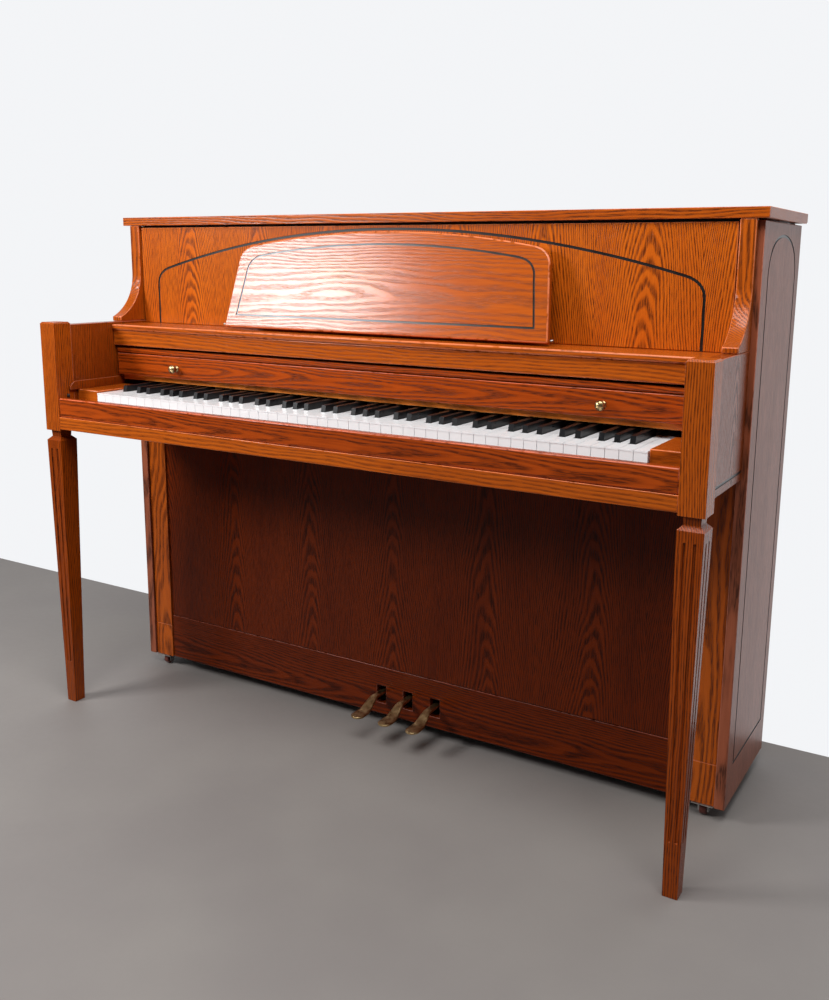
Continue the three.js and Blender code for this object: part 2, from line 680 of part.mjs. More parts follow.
function lowerCase() {
  const toeTopZ = FLOOR_GAP + TOE_HEIGHT;
  const stileTopZ = BED_UNDER_Z + 2 - TOUCH;
  for (const [hand, sign] of SIDES) {
    const x = mirrored(sign, insideX - STILE_WIDTH, insideX);
    const z = [FLOOR_GAP, stileTopZ];
    const stile = cut(solid(span(x, [stileFaceY, stileFaceY + STILE_THICK], z)), [
      span([x[0] - 1, x[1] + 1], [stileFaceY - 1, stileFaceY + 1], [toeTopZ, toeTopZ + 1]),
    ]);
    place(`stile_${hand}`, OAK, surface(stile));
  }
  const across = [-panelInnerX, panelInnerX];
  const panelY = [lowerFaceY, lowerFaceY + LOWER_PANEL_THICK];
  board('lower_panel', OAK_DARK, across, panelY, [LOWER_PANEL_FOOT_Z, stileTopZ]);
  const slots = pedalPlaces().map(([, x]) =>
    span(
      [x - PEDAL_NECK / 2 - 4, x + PEDAL_NECK / 2 + 4],
      [lowerFaceY - 5, lowerFaceY + LOWER_PANEL_THICK + 5],
      [PEDAL_Z - 24, PEDAL_Z + 16],
    ),
  );
  const railZ = [FLOOR_GAP, LOWER_PANEL_FOOT_Z - 1];
  const railY = [lowerFaceY - 1, lowerFaceY + LOWER_PANEL_THICK];
  place('toe_rail', OAK_DARK, surface(cut(solid(span(across, railY, railZ)), slots)));
  const bottomY = [stileFaceY + STILE_THICK + TOUCH, backFrameY - TOUCH];
  const bearings = pedalPlaces().map(([, x]) => {
    const y = lowerFaceY + PEDAL_PIVOT_Y;
    const z = [bottomTopZ - 1, PEDAL_Z - PEDAL_THICK / 2 - PEDAL_CLEAR];
    return span([x - 12, x + 12], [y - BEARING_HALF, y + BEARING_HALF], z);
  });
  const base = span([-insideX, insideX], bottomY, [FLOOR_GAP, bottomTopZ]);
  place('bottom_board', PAINTED_BLACK, surface(joined([base, ...bearings])));
}

// ---------------------------------------------------------------- pedals

function pedalPlaces() {
  return [
    ['soft', PEDAL_MIDDLE_X - PEDAL_PITCH],
    ['middle', PEDAL_MIDDLE_X],
    ['sustain', PEDAL_MIDDLE_X + PEDAL_PITCH],
  ];
}

// A pedal is the common part of its side view and its plan.
function pedals() {
  const pivotY = lowerFaceY + PEDAL_PIVOT_Y;
  const tailY = pivotY + PEDAL_TAIL;
  const tipY = lowerFaceY - PEDAL_REACH;
  const top = PEDAL_Z + PEDAL_THICK / 2;
  const under = PEDAL_Z - PEDAL_THICK / 2;
  const footTop = top - PEDAL_FALL;
  const fallStart = lowerFaceY - 26;
  const fallEnd = tipY + 34;
  const fallMiddle = (fallStart + fallEnd) / 2;
  const side = new THREE.Shape();
  side.moveTo(tailY, under);
  side.lineTo(tailY, top);
  side.lineTo(fallStart, top);
  side.bezierCurveTo(fallMiddle, top, fallMiddle, footTop, fallEnd, footTop);
  side.quadraticCurveTo(tipY, footTop, tipY, footTop - PEDAL_THICK * 0.8);
  side.quadraticCurveTo(tipY + 8, footTop - PEDAL_THICK, fallEnd, footTop - PEDAL_THICK);
  side.bezierCurveTo(fallMiddle, footTop - PEDAL_THICK, fallMiddle, under, fallStart, under);
  side.closePath();
  const half = PEDAL_NECK / 2;
  const footY = tipY + PEDAL_FOOT_RADIUS;
  const plan = new THREE.Shape();
  plan.moveTo(half, tailY + 1);
  plan.lineTo(-half, tailY + 1);
  plan.lineTo(-half, fallStart);
  plan.bezierCurveTo(-half, fallEnd, -PEDAL_FOOT_RADIUS, footY + 30, -PEDAL_FOOT_RADIUS, footY);
  plan.absarc(0, footY, PEDAL_FOOT_RADIUS, Math.PI, Math.PI * 2, false);
  plan.bezierCurveTo(PEDAL_FOOT_RADIUS, footY + 30, half, fallEnd, half, fallStart);
  plan.closePath();
  const wide = PEDAL_FOOT_RADIUS + 1;
  const sideSolid = solid(alongX(side, -wide, wide, 5));
  const pedal = sideSolid.intersect(solid(alongZ(plan, footTop - 20, top + 1, 6)));
  for (const [name, x] of pedalPlaces()) {
    place(`${name}_pedal`, BRASS, surface(pedal), [x, 0, 0]);
  }
}

// ---------------------------------------------------------------- casters

function casters() {
  const plateZ = FLOOR_GAP - TOUCH;
  const cheek = WHEEL_WIDTH / 2 + SLIDE;
  const fork = joined([
    span([-20, 20], [-19, 19], [plateZ - FORK_PLATE, plateZ]),
    span([-cheek - 2.5, -cheek], [-6, 6], [WHEEL_RADIUS - 5, plateZ - 1]),
    span([cheek, cheek + 2.5], [-6, 6], [WHEEL_RADIUS - 5, plateZ - 1]),
    barX(-cheek - 1, cheek + 1, 0, WHEEL_RADIUS, 2.5, 8),
  ]);
  const rim = new THREE.Shape();
  rim.absarc(0, WHEEL_RADIUS, WHEEL_RADIUS, 0, Math.PI * 2, false);
  const hub = new THREE.Path();
  hub.absarc(0, WHEEL_RADIUS, 3, 0, Math.PI * 2, true);
  rim.holes.push(hub);
  const wheel = alongX(rim, -WHEEL_WIDTH / 2, WHEEL_WIDTH / 2, 12);
  const rows = [
    ['front', caseFrontY + CASTER_INSET_FRONT],
    ['back', caseBackY - CASTER_INSET_BACK],
  ];
  for (const [row, y] of rows) {
    for (const [hand, sign] of SIDES) {
      const at = [sign * (insideX - CASTER_INSET_SIDE), y, 0];
      place(`caster_fork_${row}_${hand}`, STEEL, surface(fork), at);
      place(`caster_wheel_${row}_${hand}`, RED_RUBBER, wheel, at);
    }
  }
}

// ---------------------------------------------------------------- back frame, soundboard, plate

function backFrame() {
  const half = insideX;
  const openingCount = BACK_POST_COUNT - 1;
  const between = (2 * half - BACK_POST_COUNT * BACK_POST_WIDTH) / openingCount;
  const openings = [];
  for (let i = 0; i < openingCount; i++) {
    const x = -half + BACK_POST_WIDTH + i * (between + BACK_POST_WIDTH);
    const z = [FLOOR_GAP + BACK_FOOT_HEIGHT, pinBlockFootZ];
    openings.push(span([x, x + between], [backFrameY - 1, caseBackY + 1], z));
  }
  const frame = cut(solid(span([-half, half], [backFrameY, caseBackY], [FLOOR_GAP, backTopZ])), openings);
  const pinBlock = span([-half, half], [pinBlockFaceY, backFrameY + 1], [pinBlockFootZ, backTopZ]);
  place('back_frame', RAW_WOOD, surface(frame.add(solid(pinBlock))));
}

// A bridge is a band that follows a curve over the soundboard's face. The plate's clearance
// for it is the same band, larger by room on every side.
function bridge(points, room = 0) {
  const curve = new THREE.CatmullRomCurve3(points.map(([x, z]) => new THREE.Vector3(x, 0, z)));
  const upper = [];
  const lower = [];
  const steps = 14;
  for (let i = 0; i <= steps; i++) {
    const run = curve.getTangent(i / steps);
    const past = i === 0 ? -room : i === steps ? room : 0;
    const at = curve.getPoint(i / steps).addScaledVector(run, past);
    const side = new THREE.Vector2(-run.z, run.x).multiplyScalar(BRIDGE_WIDTH / 2 + room);
    upper.push([at.x + side.x, at.z + side.y]);
    lower.unshift([at.x - side.x, at.z - side.y]);
  }
  return alongY(outline([...upper, ...lower]), stringY + STRING_THICK + TOUCH, soundboardY + 1);
}

function bridgeRuns() {
  const wide = insideX - 120;
  const high = pinBlockFootZ - FLOOR_GAP;
  const run = (points) => points.map(([x, z]) => [x * wide, FLOOR_GAP + z * high]);
  return [
    run([[-0.55, 0.24], [-0.1, 0.34], [0.35, 0.56], [0.72, 0.74], [0.98, 0.9]]),
    run([[-0.98, 0.42], [-0.75, 0.32], [-0.52, 0.16]]),
  ];
}

function soundboard() {
  const half = insideX - 8;
  const footZ = bottomTopZ + 30;
  const headZ = pinBlockFootZ - 2;
  const sheet = span([-half, half], [soundboardY, soundboardBackY], [footZ, headZ]);
  const room = solid(span([-half, half], [soundboardY, backFrameY - TOUCH], [footZ, headZ]));
  const ribCount = 7;
  const ribs = [];
  for (let i = 0; i < ribCount; i++) {
    const length = headZ - footZ + half;
    const rib = new THREE.BoxGeometry(24, RIB_THICK + 1, length);
    rib.rotateY(-Math.PI / 4);
    const x = -half + ((i + 0.5) * 2 * half) / ribCount;
    ribs.push(rib.translate(x, soundboardBackY + (RIB_THICK - 1) / 2, (footZ + headZ) / 2));
  }
  const braced = joined([sheet, ...ribs]).intersect(room);
  const whole = joined(bridgeRuns().map((points) => bridge(points))).add(braced);
  place('soundboard', SPRUCE, surface(whole));
}

// The plate's openings leave a rim, two struts and a web above the hammers' line.
function ironPlate() {
  const half = insideX - 4;
  const footZ = bottomTopZ + 8;
  const headZ = backTopZ - 12;
  const body = solid(span([-half, half], [plateY, plateBackY], [footZ, headZ]));
  const struts = [-half + 60, -half * 0.22, half * 0.3, half - 60];
  const strutHalf = STRUT_WIDTH / 2;
  const holes = [];
  for (let i = 0; i < struts.length - 1; i++) {
    const x = [struts[i] + strutHalf, struts[i + 1] - strutHalf];
    holes.push(span(x, [plateY - 1, plateBackY + 1], [footZ + 60, pinBlockFootZ - 12]));
  }
  const clearances = bridgeRuns().map((points) => bridge(points, BRIDGE_ROOM));
  place('iron_plate', GOLD_PAINT, surface(cut(body, [...holes, ...clearances])));
}

// The strings as one thin sheet over the speaking length.
function strings() {
  const half = keyboardHalf;
  const sheet = outline([
    [-half, bottomTopZ + 60],
    [half * 0.2, bottomTopZ + 60],
    [half, pinBlockFootZ - 120],
    [half, backTopZ - 40],
    [-half, backTopZ - 40],
  ]);
  place('strings', STEEL, alongY(sheet, stringY, stringY + STRING_THICK));
}

// ---------------------------------------------------------------- action

const hammerZ = pinBlockFootZ - HAMMER_DROP;
const hammerButtY = blackRearY + 10;
const hammerButtZ = hammerZ - HAMMER_SWING;
const hammerFaceY = stringY - HAMMER_BLOW;

function actionFrame() {
  const footY = [blackRearY + 4, bedBackY - 4];
  const topZ = hammerZ + 34;
  const standY = [panelBackY + 26, panelBackY + 44];
  const bracket = outline([
    [footY[1], bedTopZ + TOUCH],
    [footY[1], bedTopZ + 8],
    [footY[0] + 14, bedTopZ + 30],
    [footY[0] + 14, blackTopZ + 12],
    [standY[1], blackTopZ + 34],
    [standY[1], topZ - 16],
    [stringY - 2, topZ - 12],
    [stringY - 2, topZ],
    [standY[0], topZ],
    [standY[0], blackTopZ + 20],
    [footY[0], blackTopZ + 2],
    [footY[0], bedTopZ + TOUCH],
  ]);
  const parts = [-keyboardHalf - 12, 0, keyboardHalf + 12].map((x) => alongX(bracket, x - 2, x + 2));
  const reach = [-keyboardHalf - 12, keyboardHalf + 12];
  parts.push(span(reach, [standY[0] + 4, standY[1] + 6], [hammerButtZ - 22, hammerButtZ - 2]));
  parts.push(span(reach, [standY[0] + 4, standY[1] - 2], [hammerZ - 30, hammerZ - 14]));
  place('action_frame', STEEL, surface(joined(parts)));
}

// The 88 hammers, evenly spaced and joined along their butts.
function hammers() {
  const shoulderY = hammerFaceY - 14;
  const tailY = hammerFaceY - HAMMER_LENGTH;
  const head = outline([
    [hammerFaceY, hammerZ],
    [shoulderY, hammerZ + HAMMER_HALF],
    [tailY, hammerZ + HAMMER_HALF - 3],
    [tailY, hammerZ - HAMMER_HALF + 3],
    [shoulderY, hammerZ - HAMMER_HALF],
  ]);
  const shankY = tailY + 9;
  const shank = outline([
    [hammerButtY - SHANK_HALF, hammerButtZ],
    [hammerButtY + SHANK_HALF, hammerButtZ],
    [shankY + SHANK_HALF, hammerZ],
    [shankY - SHANK_HALF, hammerZ],
  ]);
  const pitch = (2 * keyboardHalf) / HAMMER_COUNT;
  const parts = [];
  for (let i = 0; i < HAMMER_COUNT; i++) {
    const x = -keyboardHalf + (i + 0.5) * pitch;
    parts.push(alongX(head, x - HAMMER_WIDTH / 2, x + HAMMER_WIDTH / 2));
    parts.push(alongX(shank, x - SHANK_WIDTH / 2, x + SHANK_WIDTH / 2));
  }
  const buttY = [hammerButtY - BUTT_HALF, hammerButtY + BUTT_HALF];
  const buttZ = [hammerButtZ - 8, hammerButtZ + 8];
  parts.push(span([-keyboardHalf, keyboardHalf], buttY, buttZ));
  place('hammers', FELT, surface(joined(parts)));
}

// Damper heads rest on the strings under the hammers' line, all lifted by the right pedal.
function dampers() {
  const headZ = [hammerZ - DAMPER_DROP - DAMPER_HEIGHT, hammerZ - DAMPER_DROP];
  const headY = [stringY - TOUCH - DAMPER_THICK, stringY - TOUCH];
  const wireY = [hammerButtY + 16, hammerButtY + 20];
  const armZ = [headZ[0] + 8, headZ[0] + 14];
  const reach = [-keyboardHalf, keyboardHalf * DAMPER_SHARE];
  const parts = [
    span(reach, headY, headZ),
    span(reach, [wireY[0], headY[0] + 1], armZ),
    span(reach, wireY, [hammerButtZ - 2, armZ[1]]),
  ];
  place('dampers', FELT, surface(joined(parts)));
}

// ---------------------------------------------------------------- keys

const CELL_LOW = (3 * WHITE_PITCH) / 5; // each of the five tails from C to E
const CELL_HIGH = (4 * WHITE_PITCH) / 7; // each of the seven tails from F to B
const WHITE_TONES = [0, 2, 4, 5, 7, 9, 11];
const FREE_NAMES = ['c4', 'c_sharp4', 'd4'];

// Where a semitone's tail starts, from the left end of its octave.
function cellStart(tone) {
  return tone < 5 ? tone * CELL_LOW : 3 * WHITE_PITCH + (tone - 5) * CELL_HIGH;
}

// The 88 notes from A0 to C8: octave number, semitone, and left end of the octave.
function notes() {
  const firstC = -keyboardHalf + 2 * WHITE_PITCH;
  const list = [];
  for (let key = -3; key <= 84; key++) {
    const octave = Math.floor(key / 12);
    const tone = key - octave * 12;
    list.push({ octave: octave + 1, tone, start: firstC + octave * 7 * WHITE_PITCH });
  }
  return list;
}

function whiteKey({ octave, tone, start }) {
  const index = WHITE_TONES.indexOf(tone);
  const half = KEY_GAP / 2;
  const left = start + index * WHITE_PITCH + half;
  const right = start + (index + 1) * WHITE_PITCH - half;
  const isFirst = octave === 0 && tone === 9;
  const isLast = octave === 8;
  const tailLeft = isFirst ? left : Math.max(left, start + cellStart(tone) + half);
  const tailRight = isLast ? right : Math.min(right, start + cellStart(tone + 1) - half);
  const plan = [
    [left, keyFrontY],
    [right, keyFrontY],
    [right, blackFrontY - KEY_GAP],
    [tailRight, blackFrontY - KEY_GAP],
    [tailRight, whiteRearY],
    [tailLeft, whiteRearY],
    [tailLeft, blackFrontY - KEY_GAP],
    [left, blackFrontY - KEY_GAP],
  ];
  const corners = plan.filter(([x, y], i) => {
    const [nextX, nextY] = plan[(i + 1) % plan.length];
    return Math.hypot(nextX - x, nextY - y) > 1e-6;
  });
  return alongZ(outline(corners), keyUnderZ, WHITE_TOP_Z);
}

function blackKey({ tone, start }) {
  const middle = start + (cellStart(tone) + cellStart(tone + 1)) / 2;
  const shoulderY = nameBoardY + NAME_BOARD_THICK;
  const stickTopZ = WHITE_TOP_Z - 2;
  const side = outline([
    [blackFrontY, stickTopZ - BLACK_STICK_THICK],
    [blackRearY, stickTopZ - BLACK_STICK_THICK],
    [blackRearY, stickTopZ],
    [shoulderY, stickTopZ],
    [shoulderY - 2, blackTopZ],
    [blackFrontY + BLACK_SLOPE, blackTopZ],
  ]);
  return alongX(side, middle - BLACK_WIDTH / 2, middle + BLACK_WIDTH / 2);
}

// Three notes at the middle of the keyboard stand alone; the rest are joined in four groups.
const FREE_OCTAVE = 4;

function keys() {
  const groups = { bass_white: [], bass_black: [], treble_white: [], treble_black: [] };
  for (const note of notes()) {
    const isWhite = WHITE_TONES.includes(note.tone);
    const shape = isWhite ? whiteKey(note) : blackKey(note);
    if (note.octave === FREE_OCTAVE && note.tone < FREE_NAMES.length) {
      const look = isWhite ? KEY_WHITE : KEY_BLACK;
      place(`key_${FREE_NAMES[note.tone]}`, look, shape);
      continue;
    }
    const isBass = note.octave < FREE_OCTAVE;
    groups[`${isBass ? 'bass' : 'treble'}_${isWhite ? 'white' : 'black'}`].push(shape);
  }
  for (const [name, shapes] of Object.entries(groups)) {
    const isWhite = name.endsWith('white');
    const box = new THREE.Box3();
    for (const shape of shapes) {
      shape.computeBoundingBox();
      box.union(shape.boundingBox);
    }
    const x = [box.min.x + 0.2, box.max.x - 0.2];
    const rearY = isWhite ? whiteRearY : blackRearY;
    const topZ = isWhite ? keyUnderZ + 1.5 : WHITE_TOP_Z - 2 - BLACK_STICK_THICK + 1.5;
    const tie = span(x, [rearY - 7, rearY], [topZ - 9, topZ]);
    place(`${name}_keys`, isWhite ? KEY_WHITE : KEY_BLACK, surface(joined([...shapes, tie])));
  }
}

// Front, balance and back rails joined by slats, under the key sticks.
function keyFrame() {
  const half = keyboardHalf - 2;
  const footZ = bedTopZ + TOUCH;
  const railTopZ = keyUnderZ - 1.2;
  const across = [-half, half];
  const parts = [
    span(across, [keyFrontY + 8, keyFrontY + 40], [footZ, keyUnderZ - KEY_DIP - 3]),
    span(across, [keyPivotY - 8, keyPivotY + 8], [footZ, railTopZ]),
    span(across, [whiteRearY - 34, whiteRearY - 18], [footZ, railTopZ]),
  ];
  for (const share of [-0.96, -0.33, 0.33, 0.96]) {
    const x = share * half;
    parts.push(span([x - 20, x + 20], [keyFrontY + 10, whiteRearY - 20], [footZ, footZ + 8]));
  }
  place('key_frame', RAW_WOOD, surface(joined(parts)));
}

// ---------------------------------------------------------------- assembly

sidePanels();
arms();
armPosts();
frontLegs();
brackets();
lid();
lidHinge();
upperFront();
musicDesk();
fallboard();
fallboardRests();
keyBed();
lowerCase();
pedals();
casters();
backFrame();
soundboard();
ironPlate();
strings();
actionFrame();
hammers();
dampers();
keys();
keyFrame();

export default piano;
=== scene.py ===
# %% [markdown]
# # A console upright piano in oak
#
# The solid model of the piano is already in place as a frame: every board, key and wheel has its
# size, its position and the body it moves with. This lesson dresses that frame. It rounds the
# boards, cuts the inlay grooves, shapes the keys and the brass, and mixes an oak that has real
# growth rings. All lengths are in metres. X runs to the player's right, Y away, Z up.

# %% Load the frame
import json
import math

import bmesh
import bpy
from mathutils import Matrix, Vector


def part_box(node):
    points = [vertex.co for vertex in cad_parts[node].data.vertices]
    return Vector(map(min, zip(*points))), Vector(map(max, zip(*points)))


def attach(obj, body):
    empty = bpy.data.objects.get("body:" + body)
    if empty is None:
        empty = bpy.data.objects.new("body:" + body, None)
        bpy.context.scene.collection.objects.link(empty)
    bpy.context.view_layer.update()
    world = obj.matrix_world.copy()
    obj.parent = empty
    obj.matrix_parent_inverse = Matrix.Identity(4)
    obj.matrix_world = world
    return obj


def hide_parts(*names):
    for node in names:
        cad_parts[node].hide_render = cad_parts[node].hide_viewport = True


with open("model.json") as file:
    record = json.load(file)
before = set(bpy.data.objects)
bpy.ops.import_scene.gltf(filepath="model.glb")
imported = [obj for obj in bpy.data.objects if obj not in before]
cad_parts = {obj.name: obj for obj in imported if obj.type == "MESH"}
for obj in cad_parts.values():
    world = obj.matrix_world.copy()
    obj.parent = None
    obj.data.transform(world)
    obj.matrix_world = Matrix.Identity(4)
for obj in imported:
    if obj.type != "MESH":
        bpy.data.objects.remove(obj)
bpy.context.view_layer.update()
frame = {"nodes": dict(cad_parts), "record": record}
nodes = frame["nodes"]
body_holding = {n: b for b, held in frame["record"]["behaviour"]["bodies"].items() for n in held}

# %% [markdown]
# ## Writing node trees as sums
#
# A wood or brass finish is arithmetic on positions. Wiring Math nodes by hand hides the formula,
# so a socket is wrapped in a small class that adds, multiplies and compares like a number, and
# each operation leaves its node in the tree. The same class of tree serves shaders and geometry.

# %% Sockets that can be calculated with
class Value:
    """An output socket that can be used in sums."""

    def __init__(self, recipe, socket):
        self.recipe, self.socket = recipe, socket

    def math(self, operation, *others):
        values = dict(enumerate([self, *others]))
        return self.recipe.node("ShaderNodeMath", {"operation": operation}, values)

    def __add__(self, other):
        return self.math("ADD", other)

    def __mul__(self, other):
        return self.math("MULTIPLY", other)

    def __sub__(self, other):
        return self.math("SUBTRACT", other)

    def __truediv__(self, other):
        return self.math("DIVIDE", other)

    def __rsub__(self, other):
        values = {0: other, 1: self}
        return self.recipe.node("ShaderNodeMath", {"operation": "SUBTRACT"}, values)

    __radd__ = __add__
    __rmul__ = __mul__

    def step(self, low, high):
        """0 below low, 1 above high, and a smooth climb between."""
        settings = {"interpolation_type": "SMOOTHSTEP"}
        values = {"Value": self, "From Min": low, "From Max": high}
        return self.recipe.node("ShaderNodeMapRange", settings, values)


class Recipe:
    """A node tree that is written as a list of steps."""

    def __init__(self, tree):
        self.tree = tree
        tree.nodes.clear()

    def node(self, kind, settings=None, values=None, out=0):
        made = self.tree.nodes.new(kind)
        for name, value in (settings or {}).items():
            setattr(made, name, value)
        for name, value in (values or {}).items():
            if isinstance(value, Value):
                self.tree.links.new(value.socket, made.inputs[name])
            else:
                made.inputs[name].default_value = value
        return Value(self, made.outputs[out])


# %% [markdown]
# ## One shader for every finish
#
# Each finish is a Principled shader. What changes over the surface is linked: colour, roughness
# and bump. What doesn't change, such as the lacquer over the wood, is set on the shader's own
# sockets. Textures read Object coordinates. Every piece sits at the origin, so those are metres
# in the room and a pattern has the same scale on every board.

# %% The finish class
class Finish(Recipe):
    """A material with helpers for positions, noise, colours and the closing shader."""

    def __init__(self, name):
        self.material = bpy.data.materials.new(name)
        self.material.use_nodes = True
        super().__init__(self.material.node_tree)
        self.place = self.node("ShaderNodeTexCoord", out="Object")

    def axes(self):
        """X, Y and Z as three values."""
        split = self.node("ShaderNodeSeparateXYZ", values={0: self.place}).socket.node
        return {a: Value(self, split.outputs[a]) for a in "XYZ"}

    def noise(self, per_metre, detail=2.0, rough=0.5):
        """Noise from 0 to 1 with so many waves to the metre along X, Y and Z."""
        settings = {"operation": "MULTIPLY"}
        stretched = self.node("ShaderNodeVectorMath", settings, {0: self.place, 1: per_metre})
        values = {"Vector": stretched, "Scale": 1.0, "Detail": detail, "Roughness": rough}
        return self.node("ShaderNodeTexNoise", values=values, out="Fac")

    def mix(self, first, second, share):
        """A colour between two colours."""
        settings = {"data_type": "RGBA"}
        values = {0: share, 6: self.colour(first), 7: self.colour(second)}
        return self.node("ShaderNodeMix", settings, values, out=2)

    def colour(self, given):
        return given if isinstance(given, Value) else (*given, 1.0)

    def bump(self, height, depth):
        return self.node("ShaderNodeBump", values={"Distance": depth, "Height": height})

    def shade(self, colour, roughness, normal=None, **fixed):
        """The closing shader. Fixed values go by socket name, with _ for a space."""
        values = {"Base Color": colour, "Roughness": roughness}
        if normal:
            values["Normal"] = normal
        values.update({name.replace("_", " "): value for name, value in fixed.items()})
        shader = self.node("ShaderNodeBsdfPrincipled", values=values)
        self.node_out = self.tree.nodes.new("ShaderNodeOutputMaterial")
        self.tree.links.new(shader.socket, self.node_out.inputs["Surface"])
        return self.material


# %% [markdown]
# ## Oak
#
# A board is a slice through a tree, and a tree is a stack of cones, one for each year. A flat
# slice through nested cones shows nested arches, the cathedral figure, with straight lines to
# each side. So the rings are drawn in three dimensions: the distance from the heart of the log,
# plus a little for the taper along it, divided by a year's growth. Wide panels are veneered in
# leaves that mirror each other, and a Ping-Pong of the position across does that.
#
# Red oak opens its pores in spring. They are dark stained dashes that crowd at the start of each
# ring, so fine noise, stretched along the grain, is let through only there.

# %% Oak recipe
SWAY, RIPPLE = 0.038, 0.0042
PORE_SHADE, PORE_DEPTH = 0.22, 0.00012


def oak(name, along, heart, light, dark, growth=0.0036, taper=0.03, leaf=0.0, wide="X",
        gloss=0.24, strength=0.85, shine=0.25):
    """Oak with its grain along one axis. The heart of the log is a place (x, y, z) near it.

    growth is a year's width, taper how much the log thins per metre, strength how dark the
    pores are, and shine the lacquer's specular level. A sliced veneer repeats its figure every
    two leaves across its wide axis. The left and right of the case are a matched pair, so x is
    measured from the middle."""
    wood = Finish(name)
    at = wood.axes()
    stretch = lambda run, side: tuple(run if a == along else side for a in "XYZ")
    across = {}
    for axis, place in zip("XYZ", heart):
        if axis != along:
            across[axis] = (at[axis].math("ABSOLUTE") if axis == "X" else at[axis]) - place
    if leaf:
        across[wide] = across[wide].math("PINGPONG", leaf) - leaf * 0.5
    from_heart = sum((v * v for v in across.values())).math("SQRT")
    sway = (wood.noise(stretch(1.8, 8.0)) - 0.5) * SWAY
    ripple = (wood.noise(stretch(11.0, 70.0)) - 0.5) * RIPPLE
    year = ((from_heart + at[along] * taper + sway + ripple) / growth).math("FRACT")

    spring = year.step(0.0, 0.22) * (1.0 - year.step(0.42, 0.8))
    pores = wood.noise(stretch(45.0, 800.0), detail=1.0).step(0.42, 0.58)
    dashes = spring * (pores * 0.6 + 0.4)
    cloud = wood.noise(stretch(2.2, 16.0), detail=3.0)
    fine = wood.noise(stretch(16.0, 380.0), detail=1.0)

    body = wood.mix(light, dark, (cloud * 0.7 + fine * 0.5 - 0.2).step(0.1, 0.9))
    deep = tuple(c * PORE_SHADE for c in dark)
    stained = wood.mix(body, deep, dashes * strength)
    edge = wood.node("ShaderNodeAttribute", {"attribute_name": "wear"}, out="Fac")
    rubbed = edge * wood.noise((70, 70, 70), detail=3.0).step(0.3, 0.5)
    pale = tuple(min(1.0, c * 1.6 + 0.10) for c in light)
    colour = wood.mix(stained, pale, rubbed * 0.75)
    rough = gloss + dashes * 0.07 + (cloud - 0.5) * 0.05 + rubbed * 0.15
    relief = wood.bump(dashes * -1.0, PORE_DEPTH)
    return wood.shade(colour, rough, relief, Specular_IOR_Level=shine)


# %% [markdown]
# ## One log, many boards
#
# The piano is one colour of oak, but its boards differ in tone: the upper panel is orange and
# the fallboard redder. Some pairs also carry painted light. The lower panel and the toe rail are
# a deep brown that is painted shade for the dark space under the key bed. The legs, arms and
# fallboard rests share a darker brown, partly the wood's tone and partly painted shade for the
# legs' fall into shadow near the floor. The sides are a greyish pink, a painted reflection of a
# pale wall over the oak, and the name board a light honey, painted light that lifts it out of the
# shade under the fallboard. Each finish is the same recipe with its own pair of colours and its
# own heart. A heart close to a board's face gives tall arches, and one far off to the side gives
# straight lines.

# %% Oak finishes
ORANGE, RUST = (0.63, 0.136, 0.008), (0.42, 0.066, 0.003)
AMBER, TAN = (0.51, 0.104, 0.007), (0.33, 0.051, 0.003)
BRICK, WINE = (0.42, 0.064, 0.005), (0.24, 0.030, 0.002)
# Painted shade: a deep brown for the lower panel and toe rail, which sit in the shade under the key
# bed.
SHADE_UMBER, SHADE_BARK = (0.165, 0.021, 0.001), (0.092, 0.010, 0.001)
# Painted reflection: a greyish pink for the sides, the sheen of a pale wall painted over the oak.
WALL_SHEEN_GREY, WALL_SHEEN_ASH = (0.40, 0.110, 0.050), (0.24, 0.060, 0.025)
# Partly the wood's tone and partly painted shade: a darker brown for the legs, arms and fallboard
# rests.
DUSK_AND_SHADE, CLOVE_AND_SHADE = (0.34, 0.060, 0.004), (0.21, 0.029, 0.002)
# Painted light: a light honey that lifts the name board out of the shade under the fallboard.
LIT_HONEY, LIT_WHEAT = (0.95, 0.27, 0.035), (0.75, 0.17, 0.018)
oak_upper = oak("upper_panel_oak", "Z", (0.05, 0.022, 0), ORANGE, RUST, growth=0.0034, taper=0.085,
                leaf=0.19, strength=0.9)
oak_desk = oak("desk_oak", "X", (0.9, 0.06, 0.89), AMBER, TAN, growth=0.0040, taper=0.012,
               gloss=0.19, strength=0.5, shine=0.36)
# The lower panel's deep brown is painted shade.
oak_lower = oak("lower_panel_oak", "Z", (0.11, 0.040, 0), SHADE_UMBER, SHADE_BARK, taper=0.08, leaf=0.22,
                shine=0.15)
# The sides' greyish pink is a painted reflection of a pale wall over the oak.
oak_side = oak("side_panel_oak", "Z", (0.715, 0.35, 0), WALL_SHEEN_GREY, WALL_SHEEN_ASH, growth=0.0046, taper=0.012,
               strength=0.9, shine=0.36, gloss=0.36)
oak_rail = oak("rail_oak", "X", (0, 0.04, 0.70), AMBER, TAN, growth=0.0046, taper=0.010,
               strength=0.62)
oak_flap = oak("flap_oak", "X", (0, -0.094, 0.757), BRICK, WINE, growth=0.0044, taper=0.024)
oak_slip = oak("slip_oak", "X", (0, -0.256, 0.670), BRICK, WINE, growth=0.0044, taper=0.024)
# The name board's light honey is painted light against the shade under the fallboard.
oak_name = oak("name_board_oak", "X", (0, -0.05, 0.72), LIT_HONEY, LIT_WHEAT, strength=0.4)
oak_bed = oak("bed_oak", "X", (0, -0.10, 0.50), AMBER, TAN, growth=0.0046, taper=0.010,
               strength=0.62)
oak_lid = oak("lid_oak", "X", (0, 0.12, 0.97), AMBER, TAN, taper=0.014)
# The toe rail's deep brown is painted shade.
oak_toe = oak("toe_oak", "X", (0, 0.04, 0.06), SHADE_UMBER, SHADE_BARK, growth=0.0042, taper=0.02, shine=0.15)
